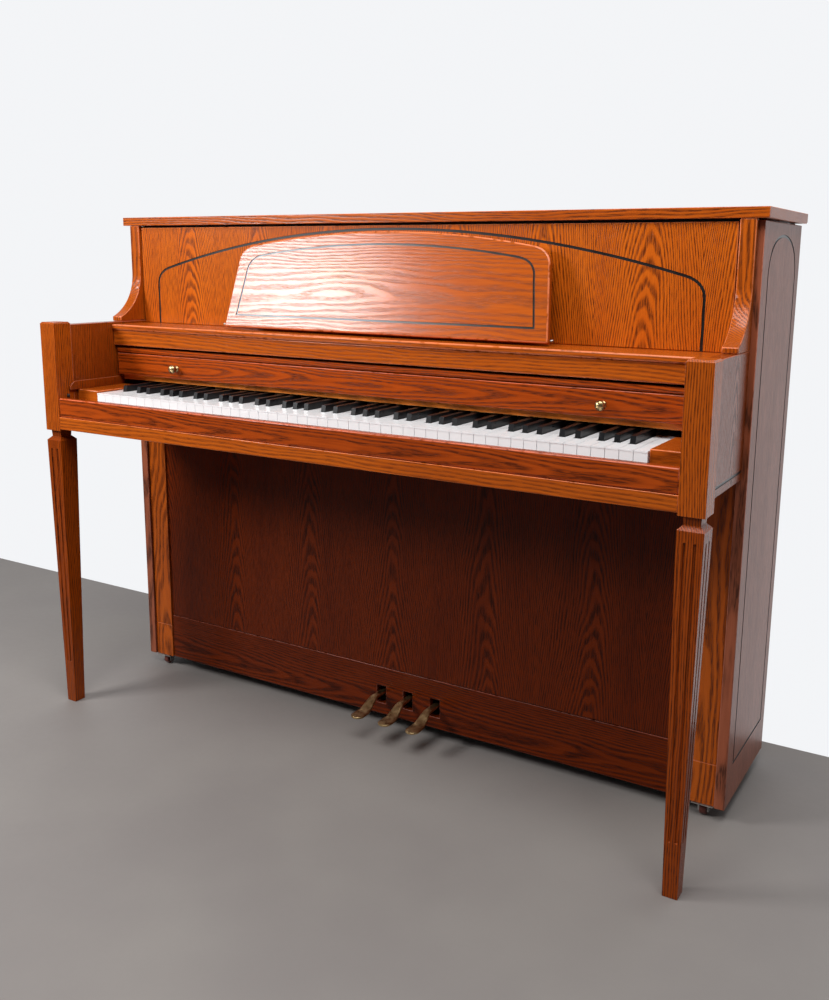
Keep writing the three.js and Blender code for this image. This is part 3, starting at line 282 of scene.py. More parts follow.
# The arms and fallboard rests share the legs' darker brown, which is partly painted shade.
oak_arm = oak("arm_oak", "Z", (0.67, -0.08, 0), DUSK_AND_SHADE, CLOVE_AND_SHADE, growth=0.0044, taper=0.07, shine=0.34)
oak_solid = oak("solid_oak", "Z", (0.60, -0.34, 0), AMBER, TAN, growth=0.0036, taper=0.012)
# The legs' darker brown is partly painted shade for their fall into shadow near the floor.
oak_leg = oak("leg_oak", "Z", (0.60, -0.34, 0), DUSK_AND_SHADE, CLOVE_AND_SHADE, growth=0.0036, taper=0.012, shine=0.18)
print("oak finishes:", [m.name for m in bpy.data.materials if m.name.endswith("oak")])

# %% [markdown]
# ## The other finishes
#
# Black lacquer fills the inlay grooves. The keys are moulded plastic, the pedals and knobs are
# old brass, and behind the panels are bare spruce and beech, painted iron, wire and felt. Each
# is a base colour with slow cloudiness and fine noise in its roughness, because a surface that
# has been handled for years is never even.

# %% Small finishes
def plain(name, light, dark, rough, spread=0.08, waves=30.0, fine=400.0, depth=0.00003, **fixed):
    """A finish with slow colour clouds and fine noise in its roughness."""
    made = Finish(name)
    cloud = made.noise((waves, waves, waves), detail=3.0)
    grit = made.noise((fine, fine, fine), detail=2.0)
    colour = made.mix(dark, light, cloud.step(0.3, 0.7))
    roughness = rough + (cloud - 0.5) * spread + (grit - 0.5) * spread
    return made.shade(colour, roughness, made.bump(grit, depth), **fixed)


inlay_black = plain("inlay_black", (0.016, 0.014, 0.013), (0.008, 0.007, 0.007), 0.32)
key_white = plain("key_white", (0.95, 0.96, 0.97), (0.92, 0.93, 0.94), 0.16, 0.05, depth=0.000004,
                  Coat_Weight=0.3, Coat_Roughness=0.06)
key_black = plain("key_black", (0.008, 0.008, 0.009), (0.005, 0.005, 0.006), 0.30, 0.1,
                  Specular_IOR_Level=0.4)
brass = plain("aged_brass", (0.62, 0.45, 0.23), (0.36, 0.24, 0.11), 0.33, 0.22, 90.0, Metallic=1.0)
steel = plain("plain_steel", (0.56, 0.55, 0.53), (0.36, 0.35, 0.34), 0.38, 0.2, 60.0, Metallic=1.0)
wheel_red = plain("wheel_red", (0.17, 0.035, 0.022), (0.09, 0.018, 0.012), 0.45, 0.15)
black_paint = plain("black_paint", (0.022, 0.020, 0.019), (0.012, 0.011, 0.010), 0.55, 0.15)
iron_gold = plain("bronzed_iron", (0.46, 0.30, 0.10), (0.36, 0.22, 0.07), 0.42, 0.12, 14.0,
                  depth=0.0001, Metallic=0.55)
felt_white = plain("wool_felt", (0.82, 0.79, 0.70), (0.70, 0.66, 0.56), 0.92, 0.05, 80.0,
                   fine=1500.0, depth=0.0003)
felt_red = plain("red_felt", (0.30, 0.03, 0.025), (0.20, 0.018, 0.015), 0.93, 0.05, 60.0,
                 fine=1500.0, depth=0.0002)
# Black rubber for the fallboard's bumpers, also used as painted shade on the strip in the gap under the
# lid.
rubber_and_shade_dark = plain("dark_rubber_and_shade", (0.03, 0.03, 0.03), (0.018, 0.018, 0.018), 0.6, 0.1)


# %% Bare wood recipe
def bare_wood(name, along, light, dark):
    """Pale close-grained wood with soft stripes along one axis."""
    wood = Finish(name)
    stretch = lambda run, wide: tuple(run if a == along else wide for a in "XYZ")
    stripe = wood.noise(stretch(1.2, 55.0), detail=4.0)
    fine = wood.noise(stretch(20.0, 700.0), detail=1.0)
    colour = wood.mix(light, dark, (stripe * 0.8 + fine * 0.4 - 0.1).step(0.2, 0.8))
    return wood.shade(colour, 0.55 + fine * 0.15, wood.bump(fine, 0.00008))


spruce = bare_wood("soundboard_spruce", "Z", (0.62, 0.40, 0.19), (0.48, 0.28, 0.115))
beech_up = bare_wood("beech_upright", "Z", (0.50, 0.33, 0.17), (0.38, 0.23, 0.11))
beech_across = bare_wood("beech_across", "X", (0.50, 0.33, 0.17), (0.38, 0.23, 0.11))
stick_wood = bare_wood("key_stick_wood", "Y", (0.62, 0.46, 0.28), (0.50, 0.35, 0.20))
print(len(bpy.data.materials), "finishes")

# %% [markdown]
# ## From solids to joinery
#
# The solids have knife edges, and real boards don't. A worn, slightly rounded arris catches a
# thin line of light, which is most of what makes a cabinet look made. So a board starts as a
# copy of its solid, its loose triangles merged and its flats joined, and then its corners are
# bevelled. The vertices along the middle of each bevel are marked in an attribute named wear,
# and the oak rubs itself pale there.

# %% Pieces and rounded edges
MM = 0.001


def put(name, shape, body, finishes, stands_for=()):
    """A mesh as a named piece that rides on a body and stands for these solids."""
    mesh = shape
    if isinstance(shape, bmesh.types.BMesh):
        mesh = bpy.data.meshes.new(name)
        shape.to_mesh(mesh)
        shape.free()
    if finishes:
        mesh.materials.clear()
        for finish in finishes:
            mesh.materials.append(finish)
    piece = bpy.data.objects.new(name, mesh)
    bpy.context.scene.collection.objects.link(piece)
    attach(piece, body)
    if stands_for:
        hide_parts(*stands_for)
    return piece


def rounded(shape, radius, steps=2, corner=math.radians(30), only=None):
    """Rounds the sharp edges and marks the middle of each rounding as worn."""
    worn = shape.verts.layers.float.get("wear") or shape.verts.layers.float.new("wear")
    sharp = [
        e for e in (only or shape.edges)
        if len(e.link_faces) == 2 and e.calc_face_angle() > corner
    ]
    made = bmesh.ops.bevel(shape, geom=sharp, offset=radius, segments=steps, profile=0.5,
                           affect="EDGES", clamp_overlap=True)
    fresh = set(made["faces"])
    for face in fresh:
        face.smooth = True
    for vert in {v for face in fresh for v in face.verts}:
        vert[worn] = 1.0 if all(f in fresh for f in vert.link_faces) else 0.0
    return shape


def softened(node, radius, steps=2):
    """A merged copy of a solid with rounded edges."""
    shape = bmesh.new()
    shape.from_mesh(nodes[node].data)
    bmesh.ops.remove_doubles(shape, verts=shape.verts, dist=0.01 * MM)
    flat = math.radians(1)
    bmesh.ops.dissolve_limit(shape, angle_limit=flat, verts=shape.verts, edges=shape.edges)
    return rounded(shape, radius, steps)


# %% [markdown]
# ## Inlay grooves
#
# A router follows a template and leaves a groove five millimetres wide, which is then filled
# with black. A ribbon is swept along the same path and taken out of the board with an exact
# Boolean. Its black finish stays on the walls and floor of the cut, so the inlay sits truly
# below the surface and shades its own edge.

# %% Ribbons and carving
def ribbon(path, out, width, depth, closed=False):
    """A strip along a path on a surface, sunk into it and standing a little proud."""
    shape = bmesh.new()
    rings = []
    count = len(path)
    for i, point in enumerate(path):
        ways = []
        if i or closed:
            ways.append((point - path[i - 1]).normalized())
        if i < count - 1 or closed:
            ways.append((path[(i + 1) % count] - point).normalized())
        way = sum(ways, Vector()).normalized()
        side = way.cross(out) * (width / 2 / way.dot(ways[0]))
        corners = [(-1, -depth), (1, -depth), (1, depth), (-1, depth)]
        rings.append([shape.verts.new(point + side * s + out * h) for s, h in corners])
    pairs = list(zip(rings, rings[1:]))
    if closed:
        pairs.append((rings[-1], rings[0]))
    else:
        shape.faces.new(rings[0])
        shape.faces.new(rings[-1][::-1])
    for one, two in pairs:
        for j in range(4):
            k = (j + 1) % 4
            shape.faces.new((one[k], one[j], two[j], two[k]))
    bmesh.ops.recalc_face_normals(shape, faces=shape.faces)
    return shape


def carved(shape, cutter, wood, lining):
    """The shape with the cutter taken out. The cut keeps the lining's finish."""
    made = []
    for form, finish in ((shape, wood), (cutter, lining)):
        mesh = bpy.data.meshes.new("blank")
        form.to_mesh(mesh)
        form.free()
        mesh.materials.append(finish)
        made.append(bpy.data.objects.new("blank", mesh))
        bpy.context.scene.collection.objects.link(made[-1])
    board, tool = made
    cut = board.modifiers.new("cut", "BOOLEAN")
    cut.operation, cut.solver, cut.material_mode = "DIFFERENCE", "EXACT", "TRANSFER"
    cut.object = tool
    depsgraph = bpy.context.evaluated_depsgraph_get()
    result = bpy.data.meshes.new_from_object(board.evaluated_get(depsgraph))
    for piece in made:
        bpy.data.objects.remove(piece)
    return result


def bend(start, pull, end, steps=8):
    """Points along a curve that leaves start and reaches end, pulled towards one corner."""
    curve = []
    for i in range(1, steps + 1):
        t = i / steps
        curve.append(tuple(a * (1 - t) ** 2 + 2 * b * t * (1 - t) + c * t * t
                           for a, b, c in zip(start, pull, end)))
    return curve


INLAY, INLAY_DEPTH = 5 * MM, 1.1 * MM

# %% [markdown]
# ## Upper panel
#
# The panel behind the music desk is veneered in upright leaves and carries one long arched
# inlay. It starts behind the shelf at each end, climbs, turns through a small corner and
# meets a very flat arc whose top is near the lid.

# %% Upper panel
def arched_line(half, foot, turn, top, radius, corner, steps=28):
    """Half-plan of an inlay: upright, corner, flat arch, corner, upright, as (x, z) points."""
    middle = top - radius
    arch = lambda x: middle + math.sqrt(radius ** 2 - x ** 2)
    inner = half - corner
    right = [(half, foot), (half, turn)]
    right += bend((half, turn), (half, arch(half)), (inner, arch(inner)))
    right += [(x, arch(x)) for x in (inner * (1 - i / steps) for i in range(1, steps))]
    return right + [(0, top)] + [(-x, z) for x, z in reversed(right)]


low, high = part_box("upper_panel")
line = arched_line(0.625, low.z - 1 * MM, 0.935, 1.053, 2.2, 0.034)
path = [Vector((x, low.y, z)) for x, z in line]
groove = ribbon(path, Vector((0, -1, 0)), INLAY, INLAY_DEPTH)
panel = carved(softened("upper_panel", 1.5 * MM), groove, oak_upper, inlay_black)
put("upper_panel_veneered", panel, "case", [], ["upper_panel"])
print("upper panel", len(panel.polygons), "faces, inlay", round(line[0][0] * 2, 3), "wide")

# %% [markdown]
# ## Music desk
#
# The desk leans back against the upper panel. Its inlay is set in from the edge all round, with
# square corners below and round ones above. The path is drawn flat, as on a bench, and is then
# tipped back about the pivot by the desk's own lean.

# %% Music desk
low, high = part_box("music_desk")
LEAN = math.radians(14.3)
PIVOT = Vector((0, -0.076, 0.857))
DESK_FACE, DESK_FOOT = -7.5 * MM, -6 * MM
tip = Matrix.Translation(PIVOT) @ Matrix.Rotation(-LEAN, 4, "X")
top_line = arched_line(0.331, 0.026, 0.112, 0.176, 1.876, 0.036)
flat_line = [(0.343, 0.026)] + top_line[1:-1] + [(-0.343, 0.026)]
path = [tip @ Vector((x, DESK_FACE, z + DESK_FOOT)) for x, z in flat_line]
front = (tip.to_3x3() @ Vector((0, -1, 0))).normalized()
groove = ribbon(path, front, 4 * MM, INLAY_DEPTH, closed=True)
desk = carved(softened("music_desk", 3.5 * MM, 3), groove, oak_desk, inlay_black)
put("music_desk_veneered", desk, "music_desk", [], ["music_desk"])
print("desk leans", round(math.degrees(LEAN), 1), "degrees,", len(desk.polygons), "faces")

# %% [markdown]
# ## Side panels and arms
#
# Each side carries a tall inlay with a pointed oval top, and each arm a single line low on its
# outer face. One side is made and the other is drawn with x turned about, so both are cut by
# the same code.

# %% Side panels and arms
for hand, sign in (("left", -1), ("right", 1)):
    low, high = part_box(f"side_panel_{hand}")
    face = high.x if sign > 0 else low.x
    out = Vector((sign, 0, 0))
    front, back, foot = 0.030, 0.240, 0.103
    line = [(front, foot), (front, 0.965)] + bend((front, 0.965), (front, 1.038), (0.132, 1.040), 12)
    line += bend((0.132, 1.040), (0.234, 1.038), (back, 0.970), 12) + [(back, foot)]
    groove = ribbon([Vector((face, y, z)) for y, z in line], out, INLAY, INLAY_DEPTH, closed=True)
    side = carved(softened(f"side_panel_{hand}", 1.2 * MM), groove, oak_side, inlay_black)
    put(f"side_panel_veneered_{hand}", side, "case", [], [f"side_panel_{hand}"])
    low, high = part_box(f"arm_{hand}")
    face = high.x if sign > 0 else low.x
    path = [Vector((face, y, 0.651)) for y in (-0.180, high.y + 1 * MM)]
    groove = ribbon(path, out, INLAY, INLAY_DEPTH)
    arm = carved(softened(f"arm_{hand}", 1.5 * MM), groove, oak_arm, inlay_black)
    put(f"arm_veneered_{hand}", arm, "case", [], [f"arm_{hand}"])
print("sides and arms are cut")

# %% [markdown]
# ## Plain boards
#
# Most of the case is boards whose only shaping is a rounded arris. They are listed with their
# rounding, their finish and the body that they belong to. The shelf, the lid and the key slip
# have the softest edges, because hands reach for them.
#
# Two boards are adjusted a little. The rail gets a lower lip, so that only a thin gap is left
# over the fallboard, and the fallboard's leaf gets a nearly square upper front corner, so that
# its nose reads as a flat strip above the flap and not as a second round bead.

# %% Plain boards
RAIL_LIP = 3 * MM
SLACK = 0.1 * MM
boards = [
    ("lid", 3.0, oak_lid, "oak_case"),
    ("music_shelf", 3.5, oak_rail, "oak_case"),
    ("shelf_rail", 2.2, oak_rail, "oak_case"),
    ("fallboard_leaf", 0.5, oak_flap, "oak_case"),
    ("fallboard_flap", 1.2, oak_flap, "oak_case"),
    ("name_board", 1.0, oak_name, "oak_case"),
    ("key_bed", 2.0, oak_bed, "oak_solid"),
    ("key_slip", 2.5, oak_slip, "oak_case"),
    ("lower_panel", 1.2, oak_lower, "oak_case"),
    ("toe_rail", 1.2, oak_toe, "oak_case"),
]
for hand in ("left", "right"):
    boards += [
        (f"key_block_{hand}", 2.0, oak_rail, "oak_case"),
        (f"stile_{hand}", 1.5, oak_solid, "oak_case"),
        (f"bracket_{hand}", 1.8, oak_solid, "oak_solid"),
        (f"fallboard_rest_{hand}", 0.8, oak_arm, "oak_case"),
    ]
for node, radius, finish, slot in boards:
    shape = softened(node, radius * MM)
    if node == "shelf_rail":
        low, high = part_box(node)
        for vert in shape.verts:
            if vert.co.z < (low.z + high.z) / 2:
                vert.co.z -= RAIL_LIP
    if node == "fallboard_leaf":
        low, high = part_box(node)
        middle = (low.z + high.z) / 2
        nose_back = low.y + high.z - middle
        for vert in shape.verts:
            if vert.co.y < nose_back - SLACK and vert.co.z > middle + SLACK:
                vert.co.y = low.y
    put(f"{node}_oak", shape, body_holding[node], [finish], [node])
print(len(boards), "boards rounded")

# %% [markdown]
# ## Posts and legs
#
# The arm ends in a square post. Under it, a short neck leads to the leg, which is square too and
# tapers to the foot with two flutes down each of its outer faces. The leg is lofted through
# rectangles, from floor to neck. A flute is cut by a round-ended rod laid down the face.

# %% Lofts and rods
def loft(levels):
    """A closed skin through rectangles, each given as (z, x0, x1, y0, y1)."""
    shape = bmesh.new()
    rings = []
    for z, x0, x1, y0, y1 in levels:
        corners = [(x0, y0), (x1, y0), (x1, y1), (x0, y1)]
        rings.append([shape.verts.new((x, y, z)) for x, y in corners])
    shape.faces.new(rings[0][::-1])
    shape.faces.new(rings[-1])
    for one, two in zip(rings, rings[1:]):
        for j in range(4):
            k = (j + 1) % 4
            shape.faces.new((one[j], one[k], two[k], two[j]))
    return shape


def turned(shape, profile, place, sides=24, closed=False, index=0):
    """Spins a profile of (radius, height) about its own Z axis and puts it in place."""
    rings = []
    for radius, height in profile:
        if radius == 0:
            rings.append([shape.verts.new(place @ Vector((0, 0, height)))] * sides)
            continue
        turns = [2 * math.pi * i / sides for i in range(sides)]
        rings.append([
            shape.verts.new(place @ Vector((radius * math.cos(a), radius * math.sin(a), height)))
            for a in turns
        ])
    pairs = list(zip(rings, rings[1:])) + ([(rings[-1], rings[0])] if closed else [])
    made = []
    for one, two in pairs:
        for j in range(sides):
            k = (j + 1) % sides
            loop = list(dict.fromkeys((one[j], one[k], two[k], two[j])))
            made.append(shape.faces.new(loop))
    for face in made:
        face.smooth = True
        face.material_index = index
    return made


def rod(shape, start, end, radius, sides=12):
    """A round-ended rod from start to end."""
    way = end - start
    place = Matrix.Translation(start) @ way.to_track_quat("Z", "Y").to_matrix().to_4x4()
    cap = [(radius * math.sin(a), -radius * math.cos(a)) for a in (math.pi / 6, math.pi / 3)]
    profile = [(0, -radius), *cap, (radius, 0), (radius, way.length)]
    profile += [(r, way.length - h) for r, h in reversed(cap)] + [(0, way.length + radius)]
    turned(shape, profile, place, sides)


# %% Posts and legs
for hand, sign in (("left", -1), ("right", 1)):
    shape = softened(f"arm_post_{hand}", 1.2 * MM)
    put(f"arm_post_oak_{hand}", shape, "case", [oak_solid], [f"arm_post_{hand}"])
    low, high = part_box(f"front_leg_{hand}")
    inner, outer = sorted((abs(low.x), abs(high.x)))
    head = (inner, outer, low.y, high.y)
    foot_x, foot_y = outer - 8 * MM, low.y + 4 * MM
    foot = (foot_x - 25 * MM, foot_x, foot_y, foot_y + 26 * MM)
    set_in = lambda plan, by: (plan[0] + by, plan[1] - by, plan[2] + by, plan[3] - by)
    shoulder, neck = 0.604, 0.612
    levels = [(0, *foot), (shoulder, *head), (neck, *set_in(head, 8 * MM)),
              (high.z, *set_in(head, 7 * MM))]
    leg = rounded(loft(levels), 1.3 * MM, corner=math.radians(20))
    flutes = bmesh.new()
    for share in (0.31, 0.69):
        ends = []
        for z in (0.584, 0.098):
            x0, x1, y0, y1 = (a + (b - a) * z / shoulder for a, b in zip(foot, head))
            ends.append((Vector((x0 + (x1 - x0) * share, y0, z)),
                         Vector((x1, y0 + (y1 - y0) * share, z))))
        for one, two in zip(*ends):
            rod(flutes, one, two, 2.6 * MM)
    bmesh.ops.recalc_face_normals(flutes, faces=flutes.faces)
    for form in (leg, flutes):
        if sign < 0:
            bmesh.ops.transform(form, matrix=Matrix.Diagonal((-1, 1, 1, 1)), verts=form.verts)
            bmesh.ops.reverse_faces(form, faces=form.faces)
    fluted = carved(leg, flutes, oak_leg, oak_leg)
    put(f"front_leg_fluted_{hand}", fluted, "case", [], [f"front_leg_{hand}"])
print("leg", len(fluted.polygons), "faces")

# %% [markdown]
# ## The keyboard
#
# Fifty-two white keys share the width evenly at the front. Behind the black keys the space is
# shared again: five equal tails from C to E, seven from F to B. That rule gives every notch
# without a table. A white key is a glossy cap over a wooden stick, and a black key is a block
# with a sloping front, a narrower back and round edges.

# %% Key shapes
def slab(shape, plan, bottom, top, index=0, radius=0.0, steps=2):
    """Adds a plan, given anticlockwise, as a closed plate between two heights."""
    low = [shape.verts.new((x, y, bottom)) for x, y in plan]
    high = [shape.verts.new((x, y, top)) for x, y in plan]
    made = [shape.faces.new(low[::-1]), shape.faces.new(high)]
    for j in range(len(plan)):
        k = (j + 1) % len(plan)
        made.append(shape.faces.new((low[j], low[k], high[k], high[j])))
    for face in made:
        face.material_index = index
    if radius:
        rounded(shape, radius, steps, only={e for face in made for e in face.edges})


low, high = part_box("bass_white_keys")
PITCH, GAP = 23.5 * MM, 1 * MM
KEYS_LEFT = low.x - GAP / 2
KEY_FRONT, KEY_REAR, KEY_TOP, KEY_UNDER = low.y, high.y, high.z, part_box("key_c4")[0].z
SHARP_FRONT, SHARP_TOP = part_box("bass_black_keys")[0].y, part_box("bass_black_keys")[1].z
SHARP_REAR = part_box("bass_black_keys")[1].y
FIRST_C = KEYS_LEFT + 2 * PITCH
NATURALS = [0, 2, 4, 5, 7, 9, 11]
CAP, COVERED = 2.6 * MM, -0.072


def tail_start(tone):
    """Where a semitone's tail begins, from the left end of its octave."""
    return tone * 3 * PITCH / 5 if tone < 5 else 3 * PITCH + (tone - 5) * 4 * PITCH / 7


def natural(shape, octave, tone, start):
    left = start + NATURALS.index(tone) * PITCH + GAP / 2
    right = left + PITCH - GAP
    neck = SHARP_FRONT - GAP
    tail_left = left if (octave, tone) == (0, 9) else max(left, start + tail_start(tone) + GAP / 2)
    tail_right = right if octave == 8 else min(right, start + tail_start(tone + 1) - GAP / 2)

    def plan(front, rear, trim):
        right_side = [(right - trim, front), (right - trim, neck)]
        if tail_right < right - 1e-6:
            right_side.append((tail_right - trim, neck))
        left_side = [(left + trim, neck), (left + trim, front)]
        if tail_left > left + 1e-6:
            left_side.insert(0, (tail_left + trim, neck))
        ends = [(tail_right - trim, rear), (tail_left + trim, rear)]
        return right_side + ends + left_side

    cap_foot = KEY_TOP - CAP
    slab(shape, plan(KEY_FRONT, COVERED, 0), cap_foot, KEY_TOP, 0, 0.55 * MM)
    slab(shape, plan(KEY_FRONT + 1.4 * MM, KEY_REAR, 0.2 * MM), KEY_UNDER, cap_foot, 1)
    front = [(left, KEY_FRONT + 0.4 * MM), (right, KEY_FRONT + 0.4 * MM),
             (right, KEY_FRONT + 1.4 * MM), (left, KEY_FRONT + 1.4 * MM)]
    slab(shape, front, KEY_UNDER, cap_foot, 0)


def sharp(shape, tone, start):
    middle = start + (tail_start(tone) + tail_start(tone + 1)) / 2
    foot, top = 5.2 * MM, 4.6 * MM
    levels = [(KEY_TOP - 11 * MM, middle - foot, middle + foot, SHARP_FRONT + 0.3 * MM, COVERED),
              (SHARP_TOP, middle - top, middle + top, SHARP_FRONT + 5.5 * MM, COVERED)]
    block = rounded(loft(levels), 1.5 * MM, 3)
    for face in block.faces:
        face.material_index = 0
    skin = bpy.data.meshes.new("sharp")
    block.to_mesh(skin)
    shape.from_mesh(skin)
    bpy.data.meshes.remove(skin)
    stick = [(middle - foot, SHARP_FRONT + 2 * MM), (middle + foot, SHARP_FRONT + 2 * MM),
             (middle + foot, SHARP_REAR), (middle - foot, SHARP_REAR)]
    slab(shape, stick, KEY_TOP - 14 * MM, KEY_TOP - 11.2 * MM, 1)


# %% All 88 keys
free_keys = {(4, 0): "key_c4", (4, 1): "key_c_sharp4", (4, 2): "key_d4"}
sets = {}
for number in range(-3, 85):
    octave, tone = number // 12 + 1, number % 12
    start = FIRST_C + (octave - 1) * 7 * PITCH
    side = "bass" if octave < 4 else "treble"
    colour = "white" if tone in NATURALS else "black"
    node = free_keys.get((octave, tone), f"{side}_{colour}_keys")
    shape = sets.setdefault(node, bmesh.new())
    if colour == "white":
        natural(shape, octave, tone, start)
    else:
        sharp(shape, tone, start)
for node, shape in sets.items():
    white = "black" not in node and "sharp" not in node
    finishes = [key_white if white else key_black, stick_wood]
    faces = len(shape.faces)
    put(f"{node}_capped", shape, body_holding[node], finishes, [node])
    print(node, faces, "faces")

# %% [markdown]
# ## Brass
#
# A fallboard knob is a small mushroom turned on a lathe, so it is a profile spun about its axis.
# A pedal is forged: a straight neck, a falling curve and a round toe. It is lofted through
# ovals whose place and size follow that line, which keeps its edges soft all the way round.

# %% Knobs
KNOB = [(0, 0), (6.2, 0), (6.6, 0.8), (6.2, 1.6), (4.2, 2.2), (3.6, 4.5), (4.0, 7.5), (6.6, 9.6),
        (8.4, 11.2), (9.0, 13.4), (8.7, 15.6), (7.4, 17.6), (5.0, 19.0), (2.4, 19.8), (0, 20)]
for hand in ("left", "right"):
    low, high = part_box(f"fallboard_knob_{hand}")
    centre = Vector(((low.x + high.x) / 2, high.y, (low.z + high.z) / 2))
    place = Matrix.Translation(centre) @ Matrix.Rotation(math.pi / 2, 4, "X")
    shape = bmesh.new()
    turned(shape, [(r * MM, h * MM) for r, h in KNOB], place, 32)
    put(f"fallboard_knob_turned_{hand}", shape, "fallboard_flap", [brass],
        [f"fallboard_knob_{hand}"])
print("knobs stand", round((high.y - low.y) / MM, 1), "mm proud")

# %% Pedals
def ease(t):
    t = min(1.0, max(0.0, t))
    return t * t * (3 - 2 * t)


def pedal(shape, middle, tail, tip, top, foot):
    """Ovals from tail to toe. The neck is level, falls by the drop and ends in a round toe."""
    neck, toe, drop = 7.5 * MM, 15 * MM, top - 8 * MM - foot
    round_at = tip + toe
    places = [tail + (round_at - tail) * i / 26 for i in range(27)]
    places += [round_at - toe * math.sin(math.pi / 2 * i / 7) for i in range(1, 8)]
    rings = []
    for y in places:
        fall = ease((-28 * MM - y) / (44 * MM))
        widen = ease((-20 * MM - y) / (66 * MM))
        wide = neck + (toe - neck) * widen
        if y < round_at:
            wide = math.sqrt(max(toe ** 2 - (y - round_at) ** 2, (1.2 * MM) ** 2))
        thick = 3.9 * MM - 0.9 * MM * widen
        thick *= 0.45 + 0.55 * min(1.0, wide / toe + 0.45 * (y > round_at))
        z = top - 4 * MM - drop * fall
        turns = [2 * math.pi * (i + 0.5) / 20 for i in range(20)]
        square = lambda c: math.copysign(abs(c) ** 0.55, c)
        rings.append([
            shape.verts.new((middle + wide * square(math.cos(a)), y, z + thick * square(math.sin(a))))
            for a in turns
        ])
    shape.faces.new(rings[0])
    shape.faces.new(rings[-1][::-1])
    for one, two in zip(rings, rings[1:]):
        for j in range(20):
            k = (j + 1) % 20
            shape.faces.new((one[k], one[j], two[j], two[k])).smooth = True
    bmesh.ops.recalc_face_normals(shape, faces=shape.faces)


for name in ("soft", "middle", "sustain"):
    low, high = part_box(f"{name}_pedal")
    shape = bmesh.new()
    pedal(shape, (low.x + high.x) / 2, high.y, low.y, high.z, low.z)
    put(f"{name}_pedal_forged", shape, f"{name}_pedal", [brass], [f"{name}_pedal"])
print("pedals reach", round(-low.y / MM), "mm ahead of the middle")

# %% [markdown]
# ## Wheels
#
# A caster wheel is a disc with round shoulders and a bore for its axle. The profile is closed on
# itself, so spinning it gives a ring with no end faces to fill.

# %% Caster wheels and forks
TREAD = [(3.2, -5.5), (6.5, -5.5), (7.5, -6.5), (10.2, -6.5), (11.5, -5.6), (12.0, -3.8),
         (12.0, 3.8), (11.5, 5.6), (10.2, 6.5), (7.5, 6.5), (6.5, 5.5), (3.2, 5.5)]
for row in ("front", "back"):
    for hand in ("left", "right"):
        node = f"caster_wheel_{row}_{hand}"
        low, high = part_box(node)
        place = Matrix.Translation((low + high) / 2) @ Matrix.Rotation(math.pi / 2, 4, "Y")
        shape = bmesh.new()
        turned(shape, [(r * MM, h * MM) for r, h in TREAD], place, 32, closed=True)
        bmesh.ops.recalc_face_normals(shape, faces=shape.faces)
        put(f"{node}_moulded", shape, node, [wheel_red], [node])
        fork = softened(f"caster_fork_{row}_{hand}", 0.4 * MM)
        put(f"caster_fork_pressed_{row}_{hand}", fork, "case", [steel],
            [f"caster_fork_{row}_{hand}"])
print("wheel radius", round((high.z - low.z) / 2 / MM, 1), "mm")

# %% [markdown]
# ## Rows of parts
#
# Inside the case almost everything is a row: hammers, dampers, strings, tuning pins. One
# geometry tree makes any of them. It lays points on a line, puts a copy of a part on each and
# can let the copies grow shorter along the row, as strings do. The copies are then realised and
# given their finish, and the result is kept as a plain mesh.

# %% The row tree
row_tree = bpy.data.node_groups.new("row of parts", "GeometryNodeTree")
row = Recipe(row_tree)
row_tree.interface.new_socket("Row", in_out="OUTPUT", socket_type="NodeSocketGeometry")
ROW_INPUTS = {
    name: row_tree.interface.new_socket(name, in_out="INPUT", socket_type=f"NodeSocket{kind}")
    for name, kind in (("Part", "Object"), ("Count", "Int"), ("Start", "Vector"),
                       ("Step", "Vector"), ("Last Height", "Float"), ("Finish", "Material"))
}
given = row_tree.nodes.new("NodeGroupInput")
asked = {name: Value(row, given.outputs[name]) for name in ROW_INPUTS}
line = row.node("GeometryNodeMeshLine", {"mode": "OFFSET"}, {
    "Count": asked["Count"], "Start Location": asked["Start"], "Offset": asked["Step"]})
part = row.node("GeometryNodeObjectInfo", values={"Object": asked["Part"]}, out="Geometry")
share = row.node("GeometryNodeInputIndex") / (asked["Count"] - 1.0)
height = share * (asked["Last Height"] - 1.0) + 1.0
size = row.node("ShaderNodeCombineXYZ", values={"X": 1.0, "Y": 1.0, "Z": height})
copies = row.node("GeometryNodeInstanceOnPoints", values={
    "Points": line, "Instance": part, "Scale": size})
whole = row.node("GeometryNodeRealizeInstances", values={"Geometry": copies})
finished = row.node("GeometryNodeSetMaterial", values={
    "Geometry": whole, "Material": asked["Finish"]})
row_end = row_tree.nodes.new("NodeGroupOutput")
row_tree.links.new(finished.socket, row_end.inputs["Row"])


def row_of(name, shape, count, start, step, finish, body, stands_for=(), last=1.0):
    """A row of copies of a shape as one plain piece."""
    made = []
    for label, source in (("part", shape), ("holder", bmesh.new())):
        mesh = bpy.data.meshes.new(label)
        source.to_mesh(mesh)
        source.free()
        made.append(bpy.data.objects.new(label, mesh))
        bpy.context.scene.collection.objects.link(made[-1])
    part, holder = made
    layer = holder.modifiers.new("row", "NODES")
    layer.node_group = row_tree
    values = {"Part": part, "Count": count, "Start": start, "Step": step,
              "Last Height": last, "Finish": finish}
    for label, value in values.items():
        layer[ROW_INPUTS[label].identifier] = value
    depsgraph = bpy.context.evaluated_depsgraph_get()
    mesh = bpy.data.meshes.new_from_object(holder.evaluated_get(depsgraph))
    for piece in made:
        bpy.data.objects.remove(piece)
    print(name, count, "copies,", len(mesh.polygons), "faces")
    return put(name, mesh, body, [], stands_for)


